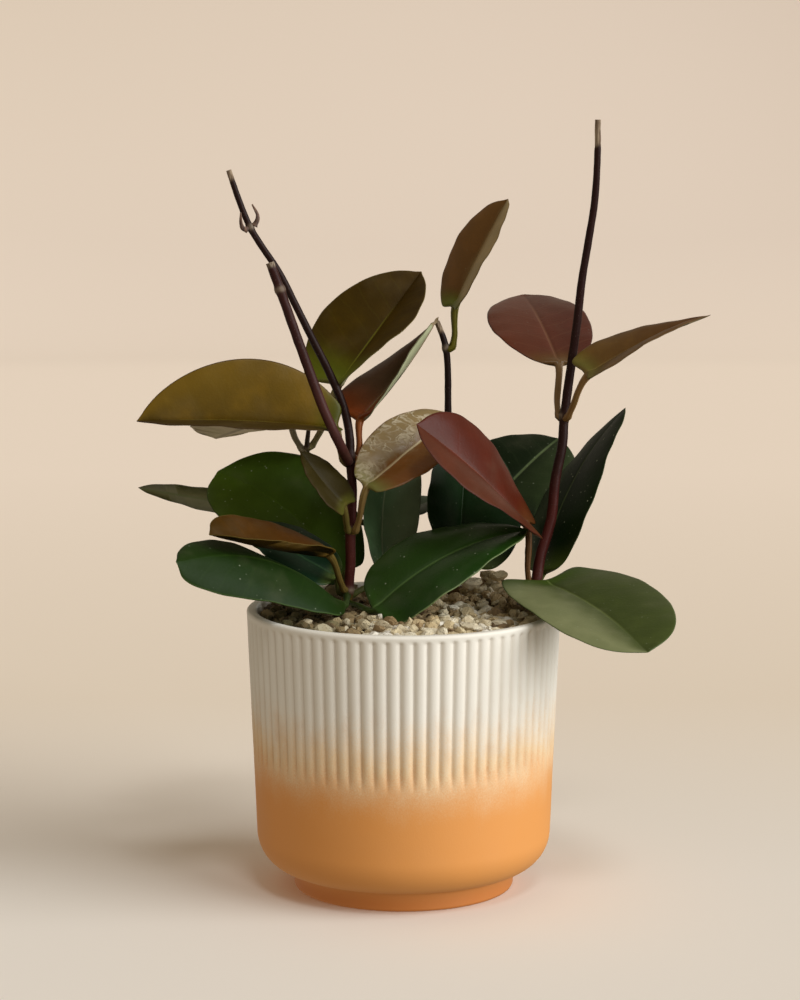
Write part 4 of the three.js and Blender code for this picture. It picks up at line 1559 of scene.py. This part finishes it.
LEAVES: dict[str, tuple[LeafFinish, LeafHabit]] = {
    "left_long": (
        LeafFinish("745812", "3c2c0a", rib="857c30", margin="3f2408", under="8a8052", base="4c500c",
                   glow_across=0.8, glow_along=0.3, glow_shift=0.05, rib_share=0.25, specks=0.0,
                   stalk="75603a"),
        LeafHabit(wave=0.4, curl_left=-1.0, curl_right=-0.5)),
    "left_back": (
        LeafFinish("8d8560", "7c7a52", rib="a39f84", margin="6a6448", under="dccba8", specks=0.0,
                   stalk="a3967c", base="8a7c60"),
        LeafHabit(wave=0.8)),
    "top_left": (
        LeafFinish("503d04", "3c2906", rib="8f9030", margin="6a5a26", under="b0ae82", base="6b7414",
                   glow_along=0.9, glow_shift=0.05, rib_reach=0.75, rib_share=0.6, base_reach=0.3,
                   specks=0.0, gloss=Gloss.DULL, stalk="9a8a68"),
        LeafHabit(wave=0.4, curl_left=-0.5, curl_right=0.7)),
    "folded": (
        LeafFinish("5a3e2e", "74602a", rib="8e7c38", margin="4a2c18", under="a3a684", base="80380f",
                   glow_across=-1.2, glow_shift=0.1, glow_soft=0.35, base_reach=0.36, specks=0.0,
                   gloss=Gloss.SHINY, stalk="8a5024"),
        LeafHabit(wave=0.2, curl_right=2.6)),
    "top_middle": (
        LeafFinish("6c481c", "9c855a", rib="7c6a3c", margin="4a3014", under="827c52", base="68701c",
                   glow_across=-1.3, glow_shift=0.2, glow_soft=0.4, rib_share=0.3, specks=0.1,
                   stalk="5a5016"),
        LeafHabit(wave=0.4)),
    # This leaf's pale cast and white crinkles are painted sheen and glints.
    "silvery": (
        LeafFinish("8a5420", "6c5028", rib="d8c9a0", margin="8a6440", under="84683c", base="7a7a3c",
                   glow_across=1.8, glow_shift=0.1, glow_soft=0.35, rib_reach=1.1, rib_width=0.6,
                   rib_share=0.7, specks=0.0, gloss=Gloss.SHINY, sheen_glints=0.4, stalk="80623a"),
        LeafHabit(wave=0.5, crinkle=0.45, cushion=0.9)),
    # Painted sheen: the paler, pinker left half.
    "red": (
        LeafFinish("541c0a", "582a18", rib="8a4c3a", margin="461812", under="7a5240", base="5c3216",
                   glow_across=1.2, glow_shift=0.0, glow_soft=0.4, rib_share=0.3, specks=0.0,
                   stalk="5c4020"),
        LeafHabit(wave=0.4, cushion=0.8)),
    "red_round": (
        LeafFinish("4c2014", "62301e", rib="8a6448", margin="3c1a12", under="6d5a40", base="6a4a24",
                   glow_across=0.8, glow_soft=0.8, rib_share=0.28, specks=0.1, veins=0.06,
                   gloss=Gloss.SHINY, stalk="806440"),
        LeafHabit(wave=0.4)),
    "right_high": (
        LeafFinish("6c4e20", "5a3416", rib="94804c", margin="5e4a2c", under="86785a", base="6c6428",
                   glow_along=0.8, rib_share=0.4, specks=0.0, stalk="8a6640"),
        LeafHabit(wave=0.3)),
    # Painted sheen: the grey-green left half by the fold; its near-black green is partly painted shade.
    "right_upright": (
        LeafFinish("122408", "3c4834", rib="56663c", margin="34421e", under="4c5a3c",
                   glow_across=1.2, glow_shift=0.6, glow_soft=0.25, specks=0.8, gloss=Gloss.DULL),
        LeafHabit(wave=0.5)),
    "right_drooping": (
        LeafFinish("424d20", "7c8058", rib="7f8a50", margin="55663a", under="66704c", base="3a4c14",
                   glow_across=-0.9, glow_shift=0.25, glow_soft=0.3, rib_share=0.3, specks=0.2,
                   stalk="40481c"),
        LeafHabit(wave=0.25, curl_left=-1.2, curl_right=-0.8, tip=0.6)),
    "back_right": (
        LeafFinish("0e1c06", "2a361c", rib="6a7a50", margin="364426", under="4d5b40",
                   glow_across=-1.2, glow_shift=0.1, glow_soft=0.3, rib_reach=1.2, specks=0.3,
                   gloss=Gloss.DULL),
        LeafHabit(wave=0.5)),
    # Partly painted shade: near-black greens for the shade under the red leaf.
    "back_middle": (
        LeafFinish("0e240c", "18320c", rib="3c5024", margin="1c3012", under="2c3c20", specks=0.3,
                   rib_share=0.15),
        LeafHabit(wave=0.5)),
    "front": (
        LeafFinish("1d3a0e", "2f4a1a", rib="55703a", margin="80905c", under="58684c", base="2c4a14",
                   glow_across=0.5, specks=0.7, gloss=Gloss.SHINY, stalk="3c4a1c"),
        LeafHabit(wave=0.6, cushion=0.9)),
    "left_broad": (
        LeafFinish("384e0c", "445810", rib="4f6a20", margin="2c3c10", under="5a6a38", base="304a0c",
                   glow_across=0.5, rib_share=0.2, specks=0.5, gloss=Gloss.DULL),
        LeafHabit(wave=0.5)),
    "rust": (
        LeafFinish("522e04", "422c06", rib="8a6a26", margin="6a5a26", under="5a4418", base="5a4010",
                   glow_along=0.9, glow_shift=0.1, specks=0.0, rib_share=0.3, gloss=Gloss.DULL,
                   stalk="6a5a2c"),
        LeafHabit(wave=0.3, curl_left=-0.3, tip=-0.8)),
    "left_low": (
        LeafFinish("1a300c", "20340c", rib="4f6c28", margin="4a6030", under="4b5c34", base="1e3008",
                   glow_along=0.6, rib_share=0.2, specks=0.4, gloss=Gloss.DULL, stalk="30401a"),
        LeafHabit(wave=0.5, curl_left=-1.4, tip=-1.0)),
    "far_left": (
        LeafFinish("3e421c", "50522c", rib="7f8456", margin="3a3c1c", under="6a6c44",
                   glow_across=0.8, specks=0.1),
        LeafHabit(wave=0.4)),
    "left_behind": (
        LeafFinish("102a18", "183a22", rib="3c5a38", margin="2a442a", under="34483a", specks=0.3),
        LeafHabit(wave=0.4)),
    # Painted light: colours raised so the leaf reads lit where it stands in shade, with a pale grey-green
    # right half of painted sheen.
    "back_upright": (
        LeafFinish("567650", "86987a", rib="a0ae90", margin="5c6c4c", under="4c5c44",
                   glow_across=-0.8, glow_shift=0.2, specks=0.6),
        LeafHabit(wave=0.5)),
    "small_bronze": (
        LeafFinish("30280a", "3a3010", rib="4c4420", margin="3c2c10", under="4c4420", base="56541c",
                   rib_share=0.2, specks=0.0, gloss=Gloss.DULL, stalk="6a5c30"),
        LeafHabit(wave=0.3, cushion=0.4, tip=-1.0)),
    "back_small": (
        LeafFinish("44503c", "4e5a44", rib="7a8468", margin="3f4a36", under="667058", specks=0.2),
        LeafHabit(wave=0.4, tip=-1.0)),
}

STEMS: dict[str, BarkFinish] = {
    "long_left": BarkFinish("4c211c", "26130f", dry_length=5.0, turn=50, warts=0.3),
    "back_left": BarkFinish("3d2a26", "4a3a30", dry_length=2.0, turn=40, warts=0.3),
    "centre_back": BarkFinish("2e1a16", "221410", dry_length=6.0, turn=30, warts=0.4),
    "right": BarkFinish("4a1f1a", "28120f", dry_length=11.0, turn=45, warts=0.25),
    "cut_left": BarkFinish("482824", "381c18", dry_length=2.0, turn=90, warts=0.45, dry="c2b39b"),
}


@dataclass
class Plant:
    """The rooted stems with their leaves and the two withered stalks."""

    seed: int = 3

    def build(self) -> list[bpy.types.Object]:
        """Builds every piece of the plant.

        Returns:
            The pieces.
        """
        made = [Stem(name, finish, self.seed + i).build() for i, (name, finish) in enumerate(STEMS.items())]
        for i, (name, (finish, habit)) in enumerate(LEAVES.items()):
            made.append(Leaf(name, finish, habit, self.seed + i).build())
        made += [DriedStub("left", 1).build(), DriedStub("right", 4).build()]
        return made


# ---- The room ----

@dataclass(frozen=True)
class PaintFinish:
    """Flat pale paint, with painted shade darkening its far left."""

    near: str = "f1e9df"
    middle: str = "efe0cd"
    far: str = "fbebda"
    top: str = "ebdbcc"
    corner: str = "d2c2b0"

    def material(self) -> bpy.types.Material:
        """Builds the finish.

        Returns:
            The material.
        """
        s = Surface("room_paint")
        right, back, _ = s.node("SeparateXYZ", {0: s.place()}).outputs
        stops = {0.0: self.near, 0.12: self.middle, 0.42: self.far, 0.72: self.far, 0.92: self.top}
        paint = s.ramp(s.math("DIVIDE", back, 3.0), stops)
        # Painted shade in the wall's far left corner.
        corner = s.times(s.ease(right, 0.6, -0.9), s.ease(back, 2.0, 3.5))
        s.colour(s.mix(corner, paint, tone(self.corner)))
        s.set(Roughness=0.95, Specular_IOR_Level=0.1)
        return s.material


@dataclass
class Room:
    """A pale rounded room with soft light, and the camera in front of the object."""

    floor_radius: float = 2.3
    wall_radius: float = 3.4
    wall_height: float = 3.2
    sides: int = 96
    key: float = 2.8
    key_side: float = 65.0        # degrees to the right of the camera
    key_rise: float = 24.0
    key_spread: float = 52.0
    glint: float = 0.42
    glint_side: float = 14.0
    glint_rise: float = 56.0
    glint_spread: float = 12.0
    glow: float = 0.36
    lens: float = 105.48          # millimetres, on a sensor 36 mm wide
    camera_place: tuple[float, float, float] = (-0.0015, -1.194, 0.336)
    camera_dip: float = 8.3       # degrees that it looks down

    def build(self) -> None:
        """Builds the floor, the lights and the camera."""
        self._floor()
        self._lights()
        self._camera()
        bpy.context.scene.view_settings.view_transform = "Standard"

    def _floor(self) -> None:
        """Makes a round floor that curves up into the wall."""
        corner = self.wall_radius - self.floor_radius
        line = [(0.3, 0.0), (1.2, 0.0), (self.floor_radius, 0.0)]
        for turn in np.radians(np.linspace(1.5, 90, 60)):
            line.append((self.floor_radius + corner * math.sin(turn), corner * (1 - math.cos(turn))))
        line.append((self.wall_radius, self.wall_height))
        angle = np.linspace(0, 2 * np.pi, self.sides, endpoint=False)
        rings = [np.stack([r * np.cos(angle), r * np.sin(angle), np.full(self.sides, z)], axis=1)
                 for r, z in line]
        points, faces = skin(np.array(rings), close_end=False)
        mesh = bpy.data.meshes.new("room")
        mesh.from_pydata(points, [], [face[::-1] for face in faces])
        mesh.shade_smooth()
        mesh.materials.append(PaintFinish().material())
        made = bpy.data.objects.new("room", mesh)
        bpy.context.scene.collection.objects.link(made)
        made.visible_shadow = made.visible_diffuse = made.visible_glossy = False

    def _lights(self) -> None:
        """Sets a broad soft key, a small lamp for the glints and a warm even glow all round."""
        self._sun("key", self.key, self.key_side, self.key_rise, self.key_spread)
        self._sun("glint", self.glint, self.glint_side, self.glint_rise, self.glint_spread)
        world = bpy.data.worlds.new("glow")
        world.use_nodes = True
        backdrop = world.node_tree.nodes["Background"]
        backdrop.inputs["Color"].default_value = (1.0, 0.86, 0.68, 1)
        backdrop.inputs["Strength"].default_value = self.glow
        bpy.context.scene.world = world

    @staticmethod
    def _sun(name: str, strength: float, side: float, rise: float, spread: float) -> None:
        """Adds one far lamp.

        Args:
            name: the lamp's name.
            strength: its light in watts to the square metre.
            side: how far round to the camera's right it stands, in degrees.
            rise: how high it stands, in degrees.
            spread: how wide it looks from the object, in degrees.
        """
        lamp = bpy.data.lights.new(name, "SUN")
        lamp.energy, lamp.angle, lamp.color = strength, math.radians(spread), (0.95, 0.98, 1.0)
        made = bpy.data.objects.new(name, lamp)
        turn, lift = math.radians(side), math.radians(rise)
        towards = Vector((math.sin(turn) * math.cos(lift), -math.cos(turn) * math.cos(lift), math.sin(lift)))
        made.rotation_euler = (-towards).to_track_quat("-Z", "Y").to_euler()
        made.location = towards * 2
        bpy.context.scene.collection.objects.link(made)

    def _camera(self) -> None:
        """Sets the camera, a little above the rim and looking slightly down."""
        lens = bpy.data.cameras.new("front_camera")
        lens.lens, lens.sensor_width = self.lens, 36.0
        lens.clip_start, lens.clip_end = 0.05, 20
        made = bpy.data.objects.new("front_camera", lens)
        made.location = self.camera_place
        made.rotation_euler = (math.radians(90 - self.camera_dip), 0, 0)
        bpy.context.scene.collection.objects.link(made)
        bpy.context.scene.camera = made


def main() -> None:
    """Builds the object and the room."""
    logging.basicConfig(level=logging.INFO, format="%(message)s")
    for made in (FlutedPot().build(), *GravelBed().build(), *Plant().build()):
        log.info("%s: %d faces", made.name, len(made.data.polygons))
    Room().build()


if __name__ == "__main__":
    main()
